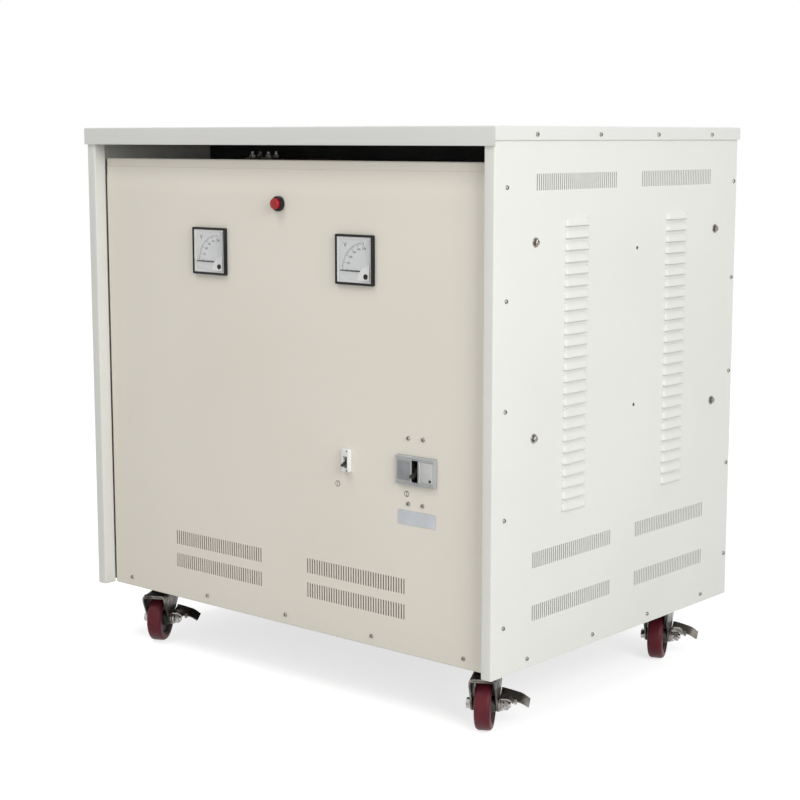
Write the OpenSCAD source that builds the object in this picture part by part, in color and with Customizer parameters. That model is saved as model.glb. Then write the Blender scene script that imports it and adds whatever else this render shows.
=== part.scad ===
// Phase converter transformer: a dry three-limb transformer in a louvred sheet-steel cabinet on
// four swivel casters, with two square panel meters, a pilot lamp and two breakers on its front.
// X runs along the front from left to right, Y to the back and Z up. The origin is on the floor,
// under the middle of the cabinet. Lengths are in millimetres and angles in degrees.

/* [Cabinet] */
// Width of the cabinet over its side panels
cabinet_w = 1104; // [900:1:1400]
// Depth of the cabinet over its front flanges and back panel
cabinet_d = 830; // [680:1:1100]
// Height of the cabinet from the bottom of its panels to the top of the lid
cabinet_h = 1000; // [950:1:1300]
// Thickness of the sheet steel
sheet = 2; // [1:0.5:3]
// Width of the folded flange on each side of the front
flange_w = 24; // [12:1:50]
// Depth of the front panel behind the flanges
recess = 28; // [10:1:60]
// Depth of the edges folded back from the front and back panels
fold = 16; // [10:1:25]

/* [Lid] */
// Overhang of the lid past the cabinet all round
lid_overhang = 4; // [2:0.5:12]
// Height of the fascia along the front of the lid
fascia_h = 35; // [20:1:60]
// Height of the skirt along the other three sides of the lid
skirt_h = 25; // [10:1:50]
// Height of the air slot between the fascia and the front panel
air_slot = 29; // [10:1:60]
// Height of each of the two stepped bands along the top of the front panel
step_h = 18; // [8:1:30]
// Depth of each step
step_depth = 1; // [0.5:0.5:2]

/* [Ventilation slots] */
// Width of one slot
slot_w = 3; // [2:0.5:3.5]
// Height of one slot
slot_h = 30; // [15:1:40]
// Distance from one slot to the next
slot_pitch = 6.5; // [5:0.5:8]
// Number of slots in a block
slots = 40; // [10:1:48]
// Distance of the middle of a front block from the middle of the panel
front_block_x = 193; // [160:1:220]
// Heights of the middles of the front blocks above the bottom of the panel
front_block_z = [83, 133]; // [60:1:160]
// Distance from the front of the cabinet to the middle of the first column on a side
side_column_y = 252; // [170:1:300]
// Distance from the first to the second column on a side
side_column_pitch = 345; // [320:1:400]
// Heights of the middles of the side blocks above the bottom of the panel
side_block_z = [102, 203, 900]; // [80:1:940]

/* [Louvres] */
// Number of louvres in a column
louvres = 25; // [5:1:26]
// Distance from one louvre to the next
louvre_pitch = 22.3; // [20:0.1:23]
// Length of a louvre
louvre_l = 78; // [40:1:120]
// Height of the hood of a louvre
louvre_h = 17; // [10:1:18]
// How far a louvre stands out of the panel
louvre_proud = 6; // [4:0.5:6]
// Height of the open lip of the lowest louvre above the bottom of the panel
louvre_z = 283; // [240:1:300]

/* [Meters] */
// Side of the square meter bezel
meter = 96; // [72:1:120]
// Distance between the middles of the two meters
meter_spread = 400; // [200:1:600]
// Height of the middle of the meters above the bottom of the panel
meter_z = 750; // [700:1:800]
// How far a meter stands out of the panel
meter_proud = 8; // [6:0.5:12]
// Depth of the meter case behind the panel
meter_case = 40; // [25:1:60]
// Length of the meter pointer from its pivot
pointer_l = 58; // [40:1:60]

/* [Pilot lamp] */
// Distance of the lamp from the middle of the panel
lamp_x = -3; // [-60:1:60]
// Height of the lamp above the bottom of the panel
lamp_z = 851; // [830:1:870]
// Diameter of the lamp bezel
lamp_bezel_d = 30; // [22:1:40]
// Diameter of the lens
lamp_lens_d = 22; // [14:1:30]
// How far the lens stands out of the panel
lamp_proud = 18; // [10:1:24]
// Thickness of the lamp bezel
lamp_bezel_t = 9; // [3:1:9]

/* [Starter breaker] */
// Distance of the starter breaker from the middle of the panel
starter_x = 177.5; // [60:0.5:240]
// Width of the starter breaker
starter_w = 18; // [12:1:36]
// Height of the window of the starter breaker
starter_h = 45; // [40:1:50]
// How far the starter breaker stands out of the panel
starter_proud = 10; // [6:1:20]

/* [Main breaker] */
// Distance of the main breaker from the middle of the panel
breaker_x = 353; // [300:1:380]
// Width of the face of the main breaker
breaker_w = 95; // [80:1:120]
// Height of the face of the main breaker
breaker_h = 55; // [50:1:70]
// How far the face of the main breaker stands out of the panel
breaker_proud = 8; // [4:1:12]
// Height of the middle of both breakers above the bottom of the panel
breaker_z = 361; // [330:1:380]
// Width of the blank label plate
label_w = 93; // [60:1:120]
// Height of the blank label plate
label_h = 28; // [20:1:40]
// Height of the middle of the label plate above the bottom of the panel
label_z = 269; // [230:1:280]

/* [Casters] */
// Height of a caster from the floor to the bottom of the panels
caster_h = 130; // [128:1:150]
// Diameter of a caster wheel
wheel_d = 100; // [80:1:100]
// Width of the tread
tread_w = 32; // [24:1:34]
// Thickness of the tread
tread_t = 12; // [6:1:18]
// Length of the hub of the wheel
hub_l = 44; // [40:1:50]
// Distance of the swivel axis from the side of the cabinet
caster_inset_x = 93; // [80:1:130]
// Distance of the swivel axis from the front or back of the cabinet
caster_inset_y = 110; // [90:1:150]
// Distance of the wheel axle from the swivel axis
trail = 27; // [20:1:30]
// Directions in which the casters trail: front left, front right, back left, back right
caster_turn = [-61, -60, -62, -67]; // [-180:1:180]
// Diameter of the swivel raceway
raceway_d = 66; // [50:1:70]
// Diameter of the wheel axle
axle_d = 12; // [8:1:14]
// Diameter of the kingpin
kingpin_d = 14; // [10:1:16]
// Length of the brake tab from the fork outwards
brake_l = 54; // [30:1:60]

/* [Transformer] */
// Width of the laminated core
core_w = 640; // [400:1:700]
// Height of the laminated core
core_h = 690; // [500:1:740]
// Depth of the lamination stack
stack = 180; // [120:1:240]
// Width of each limb and yoke of the core
limb_w = 100; // [70:1:120]
// Diameter of a coil
coil_d = 240; // [220:1:250]
// Thickness of the flanges of the core clamps
clamp_t = 6; // [4:1:10]
// Height of the core clamps
clamp_h = 80; // [60:1:110]
// Height of the base rails
rail_h = 40; // [30:1:60]
// Width of the base rails that run from front to back
side_rail_w = 80; // [70:1:100]
// Width of the base rails that run from side to side
long_rail_w = 60; // [40:1:90]

/* [Fits] */
// Gap between faces that turn past each other
running_gap = 0.3; // [0.2:0.1:0.5]
// Radial clearance of a pin in its bore
pin_clearance = 0.05; // [0.02:0.01:0.1]
// Gap between a piece and the hole that it stands in
hole_gap = 0.5; // [0.2:0.1:1]
// Gap between neighbours that move against each other
side_gap = 1; // [0.5:0.5:2]

/* [Hidden] */
$fn = 72;
CORNERS = ["front_left", "front_right", "back_left", "back_right"];

// Planes of the cabinet
side_x = cabinet_w / 2;
front_y = -cabinet_d / 2;
back_y = cabinet_d / 2;
panel_y = front_y + recess;
bottom_z = caster_h;
top_z = caster_h + cabinet_h;
panel_h = cabinet_h - fascia_h - air_slot;
skin_h = cabinet_h - sheet;

// How far a cut runs past the face that it opens
past = 1;

// Meters
meter_rim = 5;
case_floor = 1;
dial_t = 1;
dial_recess = 3.5;
pointer_w = 2;
pointer_t = 0.6;
pivot_inset = 22;
pivot_d = 8;

// Lamp
lens_dome = 3;
lens_slope = 4;

// Breakers
hinge_depth = 12;
breaker_pin_d = 3;
toggle_travel = 34;
handle_travel = 44;
toggle_d = 9;
toggle_l = 12;
handle_d = 14;
handle_w = 12;
handle_l = 26;
breaker_depth = 50;
label_t = 0.8;
off_angle = -25;

// Casters
plate_t = 6;
plate_l = 104;
plate_w = 84;
raceway_t = 6;
leg_t = 3;
leg_r = 14;
crown_t = 4;
fork_gap = hub_l + 2 * side_gap;
fork_w = fork_gap + 2 * leg_t;
axle_z = wheel_d / 2;
wheel_clear = 5;
skirt_drop = 10;
crown_z = wheel_d + wheel_clear + side_gap;
skirt_z = wheel_d - skirt_drop;
skirt_u = trail + sqrt(pow(wheel_d / 2 + wheel_clear, 2) - pow(skirt_z - axle_z, 2)) + side_gap;
raceway_z = caster_h - plate_t - raceway_t;
kingpin_head_t = 3;
kingpin_lip = 2;
kingpin_head_d = kingpin_d + 2 * kingpin_lip;
hub_d = 30;
hub_slope = 2;
web_t = 16;
rim_t = 4;
rim_inset = 2;
tread_shoulder = 6;
nut_t = 8;
nut_d = 20;
brake_t = 2.5;
brake_hub_l = 10;
brake_hub_d = 26;
brake_w = 30;
brake_arm_h = 14;
brake_back = 30;
brake_tilt = 20;

// Transformer
limb_pitch = (core_w - limb_w) / 2;
rail_top = bottom_z + rail_h;
core_lift = 14;
core_z = rail_top + core_lift;
core_top = core_z + core_h;
clamp_flange = 40;
clamp_setback = 1;
clamp_l = cabinet_w - 2 * caster_inset_x + side_rail_w - 2 * clamp_setback;
coil_gap = 6;
board_t = 12;
board_l = 340;
board_w = 50;
board_x = -210;
post_d = 16;
post_inset = 60;
board_gap = 2;
board_top = bottom_z + panel_h - board_gap;

function caster_x(i) = (i % 2 == 0 ? -1 : 1) * (side_x - caster_inset_x);
function caster_y(i) = (i < 2 ? -1 : 1) * (cabinet_d / 2 - caster_inset_y);

// One block of upright slots, centred on the origin of a plane.
module slot_block() {
    for (i = [0 : slots - 1])
        translate([(i - (slots - 1) / 2) * slot_pitch - slot_w / 2, -slot_h / 2])
            square([slot_w, slot_h]);
}

// The slot blocks of the front panel: two columns, centred on x = 0 and from the panel's foot.
module front_blocks() {
    for (x = [-front_block_x, front_block_x], z = front_block_z)
        translate([x, z]) slot_block();
}

// The slot blocks of a side, with x from the front of the cabinet backwards.
module side_blocks() {
    for (i = [0, 1], z = side_block_z)
        translate([side_column_y + i * side_column_pitch, z]) slot_block();
}

// Outline of a louvre hood: a quarter ellipse that starts at the panel and ends at the lip.
function hood(proud, height) =
    concat([[0, 0]], [for (a = [0 : 15 : 90]) [proud * cos(a), height * sin(a)]]);

// Outlines of a column of hoods, with x out of the panel and y up from the lowest lip.
module hoods(proud, height) {
    for (i = [0 : louvres - 1])
        translate([0, i * louvre_pitch]) polygon(hood(proud, height));
}

// Turns an outline with x out of the right side and y up into a bar along the side, with its
// foot at the louvres' lowest lip.
module along_side(length) {
    translate([side_x, 0, bottom_z + louvre_z])
        rotate([90, 0, 0]) linear_extrude(length, center = true) children();
}

module louvre_column() {
    inner_proud = louvre_proud - sheet;
    inner_height = louvre_h - sheet;
    difference() {
        along_side(louvre_l) hoods(louvre_proud, louvre_h);
        along_side(louvre_l - 2 * sheet) hoods(inner_proud, inner_height);
    }
}

// Places its children at each column of louvres.
module at_columns() {
    for (i = [0, 1])
        translate([0, front_y + side_column_y + i * side_column_pitch, 0]) children();
}

// The right side panel: a sheet with slots and louvres, folded round the front and back again.
module side_panel() {
    color("whitesmoke") {
        translate([side_x - sheet, front_y, bottom_z])
            rotate([90, 0, 90])
                linear_extrude(sheet)
                    difference() {
                        square([cabinet_d, skin_h]);
                        side_blocks();
                        for (i = [0, 1], k = [0 : louvres - 1])
                            translate([
                                side_column_y + i * side_column_pitch - louvre_l / 2 + sheet,
                                louvre_z + k * louvre_pitch
                            ])
                                square([louvre_l - 2 * sheet, louvre_h - sheet]);
                    }
        at_columns() louvre_column();
        translate([side_x - flange_w, front_y, bottom_z]) cube([flange_w, sheet, skin_h]);
        translate([side_x - flange_w, front_y, bottom_z]) cube([sheet, recess, skin_h]);
    }
}

// A sheet across the cabinet with its edges folded away from the viewer. Its outline is the
// child, with x from the middle and y up.
module tray(height) {
    half = side_x - sheet;
    translate([0, sheet, 0]) rotate([90, 0, 0]) linear_extrude(sheet) children();
    for (x = [-half, half - sheet])
        translate([x, 0, 0]) cube([sheet, fold, height]);
    for (z = [0, height - sheet])
        translate([-half, 0, z]) cube([2 * half, fold, sheet]);
}

module front_panel() {
    half = side_x - sheet;
    flat_h = panel_h - 2 * step_h;
    color("antiquewhite")
        translate([0, panel_y, bottom_z]) {
            for (i = [1, 2])
                translate([-half, i * step_depth, flat_h + (i - 1) * step_h - sheet])
                    cube([2 * half, sheet, step_h + sheet]);
            tray(panel_h)
                difference() {
                    translate([-half, 0]) square([2 * half, flat_h]);
                    front_blocks();
                    for (x = [-1, 1])
                        translate([x * meter_spread / 2, meter_z])
                            square(meter - 2 * meter_rim, center = true);
                    translate([lamp_x, lamp_z]) circle(d = lamp_lens_d + 2 * hole_gap);
                    translate([starter_x, breaker_z])
                        square([starter_w, starter_h] + [2, 2] * hole_gap, center = true);
                    translate([breaker_x, breaker_z])
                        square([breaker_w, breaker_h] + [2, 2] * hole_gap, center = true);
                }
        }
}

module back_panel() {
    half = side_x - sheet;
    color("whitesmoke")
        translate([0, back_y, bottom_z])
            rotate([0, 0, 180])
                tray(skin_h)
                    difference() {
                        translate([-half, 0]) square([2 * half, skin_h]);
                        front_blocks();
                        for (x = [-front_block_x, front_block_x])
                            translate([x, side_block_z[2]]) slot_block();
                    }
}

module lid() {
    w = cabinet_w + 2 * lid_overhang;
    d = cabinet_d + 2 * lid_overhang;
    color("gainsboro")
        translate([-w / 2, -d / 2, 0]) {
            translate([0, 0, top_z - sheet]) cube([w, d, sheet]);
            translate([0, 0, top_z - fascia_h]) cube([w, sheet, fascia_h]);
            translate([0, d - sheet, top_z - skirt_h]) cube([w, sheet, skirt_h]);
            for (x = [0, w - sheet])
                translate([x, 0, top_z - skirt_h]) cube([sheet, d, skirt_h]);
        }
}

module base_frame() {
    inner_w = cabinet_w - 2 * sheet;
    inner_d = cabinet_d - recess - 2 * fold;
    mid_y = (panel_y + back_y) / 2;
    color("dimgray")
        translate([0, 0, bottom_z]) {
            for (i = [0, 1])
                translate([caster_x(i) - side_rail_w / 2, mid_y - inner_d / 2, 0])
                    cube([side_rail_w, inner_d, rail_h]);
            for (i = [0, 2])
                translate([-inner_w / 2, caster_y(i) - long_rail_w / 2, 0])
                    cube([inner_w, long_rail_w, rail_h]);
        }
}

module core() {
    window = limb_pitch - limb_w;
    color("dimgray")
        translate([0, stack / 2, core_z])
            rotate([90, 0, 0])
                linear_extrude(stack)
                    difference() {
                        translate([-core_w / 2, 0]) square([core_w, core_h]);
                        for (x = [-1, 1])
                            translate([x * limb_pitch / 2 - window / 2, limb_w])
                                square([window, core_h - 2 * limb_w]);
                    }
}

// A coil round one limb: a round winding with a square hole that the limb fills.
module coil(i) {
    coil_l = core_h - 2 * limb_w - 2 * coil_gap;
    color("saddlebrown")
        translate([i * limb_pitch, 0, core_z + limb_w + coil_gap])
            linear_extrude(coil_l)
                difference() {
                    coil_outline();
                    square([limb_w, stack], center = true);
                }
}

// Outline of a winding: round corners on a block that leaves the same depth on every face.
module coil_outline() {
    depth = (coil_d - limb_w) / 2;
    for (x = [-1, 1], y = [-1, 1])
        translate([x * limb_w / 2, y * stack / 2]) circle(depth);
    square([limb_w + 2 * depth, stack], center = true);
    square([limb_w, stack + 2 * depth], center = true);
}

// A pair of channels that squeeze a yoke from the front and the back.
module clamps(z, length) {
    color("slategray")
        for (side = [0, 1])
            rotate([0, 0, side * 180])
                translate([-length / 2, -stack / 2 - clamp_t, z]) {
                    cube([length, clamp_t, clamp_h]);
                    for (level = [0, clamp_h - clamp_t])
                        translate([0, clamp_t - clamp_flange, level])
                            cube([length, clamp_flange, clamp_t]);
                }
}

module bottom_clamps() {
    clamps(rail_top, clamp_l);
}

module top_clamps() {
    clamps(core_top - clamp_h, core_w + 2 * clamp_flange);
}

module terminal_board() {
    y = -stack / 2 - clamp_flange / 2;
    color("saddlebrown") {
        translate([board_x - board_l / 2, y - board_w / 2, board_top - board_t])
            cube([board_l, board_w, board_t]);
        for (x = [-1, 1])
            translate([board_x + x * (board_l / 2 - post_inset), y, core_top])
                cylinder(d = post_d, h = board_top - board_t - core_top);
    }
}

// Places its children in the middle of a meter, with z up and y into the panel.
module at_meter(side) {
    translate([side * meter_spread / 2, panel_y, bottom_z + meter_z]) children();
}

module meter_cases() {
    inside = meter - 2 * meter_rim;
    body = inside - 2 * hole_gap;
    color("black")
        for (side = [-1, 1])
            at_meter(side)
                difference() {
                    union() {
                        translate([-meter / 2, -meter_proud, -meter / 2])
                            cube([meter, meter_proud, meter]);
                        translate([-body / 2, 0, -body / 2]) cube([body, meter_case, body]);
                    }
                    translate([-inside / 2, -meter_proud - past, -inside / 2])
                        cube([inside, meter_proud - case_floor + past, inside]);
                }
}

// The white dials, each with the pin that its pointer turns on.
module meter_dials() {
    inside = meter - 2 * meter_rim;
    pivot = inside / 2 - pivot_inset;
    color("white")
        for (side = [-1, 1])
            at_meter(side) {
                translate([-inside / 2, -case_floor - dial_t, -inside / 2])
                    cube([inside, dial_t, inside]);
                translate([pivot, -case_floor, -pivot])
                    rotate([90, 0, 0]) cylinder(d = pointer_w, h = dial_t + dial_recess);
            }
}

module meter_pointer(side) {
    inside = meter - 2 * meter_rim;
    pivot = inside / 2 - pivot_inset;
    pointer_y = pointer_t / 2 - case_floor - dial_t - dial_recess / 2;
    color("black")
        at_meter(side)
            translate([pivot, pointer_y, -pivot])
                rotate([90, 0, 0])
                    linear_extrude(pointer_t)
                        difference() {
                            union() {
                                circle(d = pivot_d);
                                translate([-pointer_l, -pointer_w / 2])
                                    square([pointer_l, pointer_w]);
                            }
                            circle(d = pointer_w + 2 * pin_clearance);
                        }
}

module at_lamp() {
    translate([lamp_x, panel_y, bottom_z + lamp_z]) rotate([90, 0, 0]) children();
}

module lamp_bezel() {
    color("black")
        at_lamp()
            difference() {
                cylinder(d = lamp_bezel_d, h = lamp_bezel_t);
                translate([0, 0, -past]) cylinder(d = lamp_lens_d, h = lamp_bezel_t + 2 * past);
            }
}

module lamp_lens() {
    color("red")
        at_lamp() {
            translate([0, 0, -meter_case])
                cylinder(d = lamp_lens_d, h = meter_case + lamp_proud - lens_dome);
            translate([0, 0, lamp_proud - lens_dome])
                cylinder(d1 = lamp_lens_d, d2 = lamp_lens_d - 2 * lens_slope, h = lens_dome);
        }
}

// Places its children at the middle of a breaker's window, with y into the panel.
module at_breaker(x) {
    translate([x, panel_y, bottom_z + breaker_z]) children();
}

// A breaker: a block through its window with an upright slot that its handle swings in.
module breaker_body(w, h, proud, slot, travel) {
    difference() {
        translate([-w / 2, -proud, -h / 2]) cube([w, proud + breaker_depth, h]);
        translate([-slot / 2, -proud - past, -travel / 2])
            cube([slot, hinge_depth + travel / 2, travel]);
    }
    rotate([0, 90, 0])
        translate([0, hinge_depth - proud, 0])
            cylinder(d = breaker_pin_d, h = slot + 2 * past, center = true);
}

// A handle that swings about x, with its tip turned down by the rest angle.
module swing_handle(w, hub, reach, proud) {
    translate([0, hinge_depth - proud, 0])
        rotate([-off_angle, 0, 0])
            difference() {
                union() {
                    rotate([0, 90, 0]) cylinder(d = hub, h = w, center = true);
                    translate([-w / 2, -hinge_depth - reach, -hub / 4])
                        cube([w, hinge_depth + reach, hub / 2]);
                }
                rotate([0, 90, 0])
                    cylinder(d = breaker_pin_d + 2 * pin_clearance, h = w + 2 * past, center = true);
            }
}

module starter_breaker() {
    color("white")
        at_breaker(starter_x)
            breaker_body(starter_w, starter_h, starter_proud, toggle_d + 2 * side_gap, toggle_travel);
}

module starter_toggle() {
    color("black")
        at_breaker(starter_x) swing_handle(toggle_d, toggle_d, toggle_l, starter_proud);
}

module main_breaker() {
    color("silver")
        at_breaker(breaker_x)
            breaker_body(breaker_w, breaker_h, breaker_proud, handle_w + 2 * side_gap, handle_travel);
}

module main_handle() {
    color("black")
        at_breaker(breaker_x) swing_handle(handle_w, handle_d, handle_l - hinge_depth, breaker_proud);
}

module label_plate() {
    color("silver")
        translate([breaker_x - breaker_w / 2, panel_y - label_t, bottom_z + label_z - label_h / 2])
            cube([label_w, label_t, label_h]);
}

// Places its children on the floor under caster i, turned so that x points along its trail.
module at_caster(i) {
    translate([caster_x(i), caster_y(i), 0]) rotate([0, 0, caster_turn[i]]) children();
}

// Lays its children along the wheel axle, with z towards the brake.
module on_axle() {
    translate([trail, 0, axle_z]) rotate([-90, 0, 0]) children();
}

// The four top plates, each with its upper raceway and kingpin.
module caster_plates() {
    color("silver")
        for (i = [0 : 3])
            translate([caster_x(i), caster_y(i), 0]) {
                translate([-plate_l / 2, -plate_w / 2, caster_h - plate_t])
                    cube([plate_l, plate_w, plate_t]);
                translate([0, 0, raceway_z + running_gap])
                    cylinder(d = raceway_d, h = raceway_t);
                translate([0, 0, crown_z - kingpin_head_t])
                    cylinder(d = kingpin_d, h = caster_h - crown_z);
                translate([0, 0, crown_z - kingpin_head_t - running_gap])
                    cylinder(d = kingpin_head_d, h = kingpin_head_t);
            }
}

module caster_fork(i) {
    color("gray")
        at_caster(i)
            difference() {
                union() {
                    cylinder_at(raceway_d, crown_z, raceway_z - crown_z);
                    translate([-raceway_d / 2 + leg_t, -fork_w / 2, crown_z])
                        cube([skirt_u + raceway_d / 2 - leg_t, fork_w, crown_t]);
                    translate([skirt_u, -fork_w / 2, skirt_z])
                        cube([leg_t, fork_w, crown_z + crown_t - skirt_z]);
                    for (y = [-fork_w / 2 + leg_t, fork_w / 2])
                        translate([0, y, 0])
                            rotate([90, 0, 0]) linear_extrude(leg_t) leg_outline();
                }
                translate([0, 0, crown_z - past])
                    cylinder(d = kingpin_d + 2 * pin_clearance, h = caster_h - crown_z);
                on_axle() cylinder(d = axle_d, h = 2 * fork_w, center = true);
            }
}

// Side view of a fork leg, as a polygon whose sides run from the crown to a round foot.
module leg_outline() {
    back_x = -raceway_d / 2 + leg_t;
    polygon([
        [back_x, crown_z + crown_t],
        [skirt_u + leg_t, crown_z + crown_t],
        [skirt_u + leg_t, skirt_z],
        [trail + leg_r, axle_z],
        [trail - leg_r, axle_z]
    ]);
    translate([trail, axle_z]) circle(leg_r);
}

module cylinder_at(d, z, h) {
    translate([0, 0, z]) cylinder(d = d, h = h);
}

module caster_axle(i) {
    brake_side = fork_w / 2 + side_gap + brake_hub_l + running_gap;
    color("silver")
        at_caster(i)
            on_axle() {
                translate([0, 0, -fork_w / 2 - nut_t])
                    cylinder(d = axle_d, h = fork_w / 2 + nut_t + brake_side + nut_t);
                translate([0, 0, -fork_w / 2 - nut_t]) cylinder(d = nut_d, h = nut_t, $fn = 6);
                translate([0, 0, brake_side]) cylinder(d = nut_d, h = nut_t, $fn = 6);
            }
}

module caster_wheel(i) {
    core_r = wheel_d / 2 - tread_t;
    inner_r = core_r - rim_t;
    edge = tread_w / 2 - rim_inset;
    color("black")
        at_caster(i)
            on_axle()
                rotate_extrude()
                    polygon([
                        [axle_d / 2 + pin_clearance, -hub_l / 2],
                        [hub_d / 2, -hub_l / 2],
                        [hub_d / 2 + hub_slope, -web_t / 2],
                        [inner_r, -web_t / 2],
                        [inner_r, -edge],
                        [core_r, -edge],
                        [core_r, edge],
                        [inner_r, edge],
                        [inner_r, web_t / 2],
                        [hub_d / 2 + hub_slope, web_t / 2],
                        [hub_d / 2, hub_l / 2],
                        [axle_d / 2 + pin_clearance, hub_l / 2]
                    ]);
}

module caster_tread(i) {
    r = wheel_d / 2;
    color("firebrick")
        at_caster(i)
            on_axle()
                rotate_extrude()
                    polygon(concat(
                        [[r - tread_t, tread_w / 2], [r - tread_t, -tread_w / 2]],
                        [for (a = [0 : 22.5 : 90]) [
                            r + tread_shoulder * (sin(a) - 1),
                            -tread_w / 2 + tread_shoulder * (1 - cos(a))
                        ]],
                        [for (a = [90 : -22.5 : 0]) [
                            r + tread_shoulder * (sin(a) - 1),
                            tread_w / 2 - tread_shoulder * (1 - cos(a))
                        ]]
                    ));
}

// The brake lever: a hub on the axle, an arm that reaches back from it beside the fork, and a
// broad tab at its end that stands out sideways for the foot.
module caster_brake(i) {
    start = fork_w / 2 + side_gap;
    color("gray")
        at_caster(i)
            translate([trail, 0, axle_z])
                difference() {
                    union() {
                        translate([0, start, 0])
                            rotate([-90, 0, 0]) cylinder(d = brake_hub_d, h = brake_hub_l);
                        translate([-brake_back, start, -brake_arm_h / 2])
                            cube([brake_back, brake_t, brake_arm_h]);
                        translate([-brake_back, start, 0])
                            rotate([0, brake_tilt, 0])
                                translate([-brake_w / 2, 0, 0]) cube([brake_w, brake_l, brake_t]);
                    }
                    rotate([-90, 0, 0])
                        cylinder(d = axle_d + 2 * pin_clearance, h = 2 * start);
                }
}

base_frame();
mirror([1, 0, 0]) side_panel();  // side_panel_left
side_panel();  // side_panel_right
front_panel();
back_panel();
lid();
core();
coil(-1);  // coil_left
coil(0);  // coil_middle
coil(1);  // coil_right
bottom_clamps();
top_clamps();
terminal_board();
meter_cases();
meter_dials();
meter_pointer(-1);  // meter_pointer_left
meter_pointer(1);  // meter_pointer_right
lamp_bezel();
lamp_lens();
starter_breaker();
starter_toggle();
main_breaker();
main_handle();
label_plate();
caster_plates();
for (i = [0 : 3]) {
    caster_fork(i);
    caster_axle(i);
    caster_wheel(i);
    caster_tread(i);
    caster_brake(i);
}
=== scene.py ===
"""Looks of a phase converter transformer: a louvred steel cabinet on four braked swivel casters.

All lengths are in metres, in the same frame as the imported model: X to the right along the front,
Y to the back and Z up, with the origin on the floor under the middle of the cabinet.
"""

import logging
import math
from dataclasses import dataclass, field
from enum import Enum

import bmesh
import bpy
import numpy as np
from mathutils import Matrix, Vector


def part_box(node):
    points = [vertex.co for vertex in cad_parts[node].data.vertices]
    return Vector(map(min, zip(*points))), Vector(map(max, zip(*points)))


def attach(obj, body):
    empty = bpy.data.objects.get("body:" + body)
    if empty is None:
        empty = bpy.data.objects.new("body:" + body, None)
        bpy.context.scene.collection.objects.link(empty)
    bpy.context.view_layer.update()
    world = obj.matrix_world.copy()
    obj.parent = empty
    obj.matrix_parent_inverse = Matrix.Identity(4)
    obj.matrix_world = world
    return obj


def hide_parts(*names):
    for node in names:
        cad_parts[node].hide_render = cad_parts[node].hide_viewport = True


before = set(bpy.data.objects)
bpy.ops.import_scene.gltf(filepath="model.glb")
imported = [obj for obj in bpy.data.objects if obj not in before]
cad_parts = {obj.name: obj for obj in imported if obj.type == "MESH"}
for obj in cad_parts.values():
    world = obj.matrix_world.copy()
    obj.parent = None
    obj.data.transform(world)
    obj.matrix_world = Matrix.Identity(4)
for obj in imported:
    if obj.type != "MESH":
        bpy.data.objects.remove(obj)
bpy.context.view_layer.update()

LOG = logging.getLogger("transformer")
MM = 0.001
CORNERS = ("front_left", "front_right", "back_left", "back_right")


# ---------------------------------------------------------------- surfaces


@dataclass
class Surface:
    """Points and faces of a mesh. Each entry of faces is an array with one face a row."""

    points: np.ndarray
    faces: list[np.ndarray]

    def placed(self, origin=(0, 0, 0), x=(1, 0, 0), y=(0, 1, 0), z=(0, 0, 1)) -> "Surface":
        """The surface with its own axes laid along x, y and z from an origin."""
        axes = np.array([x, y, z], float)
        return Surface(self.points @ axes + np.array(origin, float), self.faces)

    def repeated(self, places: np.ndarray) -> "Surface":
        """One joined surface with a copy at each place.

        Args:
            places: one row of X, Y, Z for each copy.

        Returns:
            The joined surface.
        """
        n, count = len(self.points), len(places)
        points = (self.points[None] + np.asarray(places, float)[:, None]).reshape(-1, 3)
        shift = (np.arange(count) * n)[:, None, None]
        return Surface(points, [(f[None] + shift).reshape(-1, f.shape[1]) for f in self.faces])


def joined(*parts: Surface) -> Surface:
    """One surface that holds all the parts.

    Args:
        parts: the surfaces to put together.

    Returns:
        The joined surface.
    """
    starts = np.cumsum([0] + [len(p.points) for p in parts])
    faces = [f + start for p, start in zip(parts, starts) for f in p.faces]
    return Surface(np.concatenate([p.points for p in parts]), faces)


def grid(points: np.ndarray, round_u: bool = False, round_v: bool = False, ends: bool = False) -> Surface:
    """A surface over a grid of points, where point (i, j) is the surface at parameters u, v.

    Args:
        points: array of shape (nu, nv, 3).
        round_u: the last row joins the first.
        round_v: the last column joins the first.
        ends: the first and last rows are closed with one face each.

    Returns:
        The surface, with a four-sided face for each cell.
    """
    nu, nv = points.shape[:2]
    index = np.arange(nu * nv).reshape(nu, nv)
    rows = np.concatenate([index, index[:1]]) if round_u else index
    rows = np.concatenate([rows, rows[:, :1]], axis=1) if round_v else rows
    quads = np.stack([rows[:-1, :-1], rows[1:, :-1], rows[1:, 1:], rows[:-1, 1:]], -1)
    faces = [quads.reshape(-1, 4)]
    if ends:
        faces += [index[:1, ::-1], index[-1:]]
    return Surface(points.reshape(-1, 3), faces)


def lathe(profile: list[tuple[float, float]], turns: int = 32, closed: bool = True) -> Surface:
    """A profile of (radius, height) turned about Z: x = r cos a, y = r sin a, z = h.

    Args:
        profile: the points of the profile in order.
        turns: points round the axis.
        closed: the profile's last point joins its first.

    Returns:
        The turned surface.
    """
    r, h = np.array(profile, float).T
    a = np.arange(turns) * 2 * math.pi / turns
    ring = np.stack([np.cos(a)[:, None] * r, np.sin(a)[:, None] * r, np.ones((turns, 1)) * h], -1)
    return grid(ring, round_u=True, round_v=closed)


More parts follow.
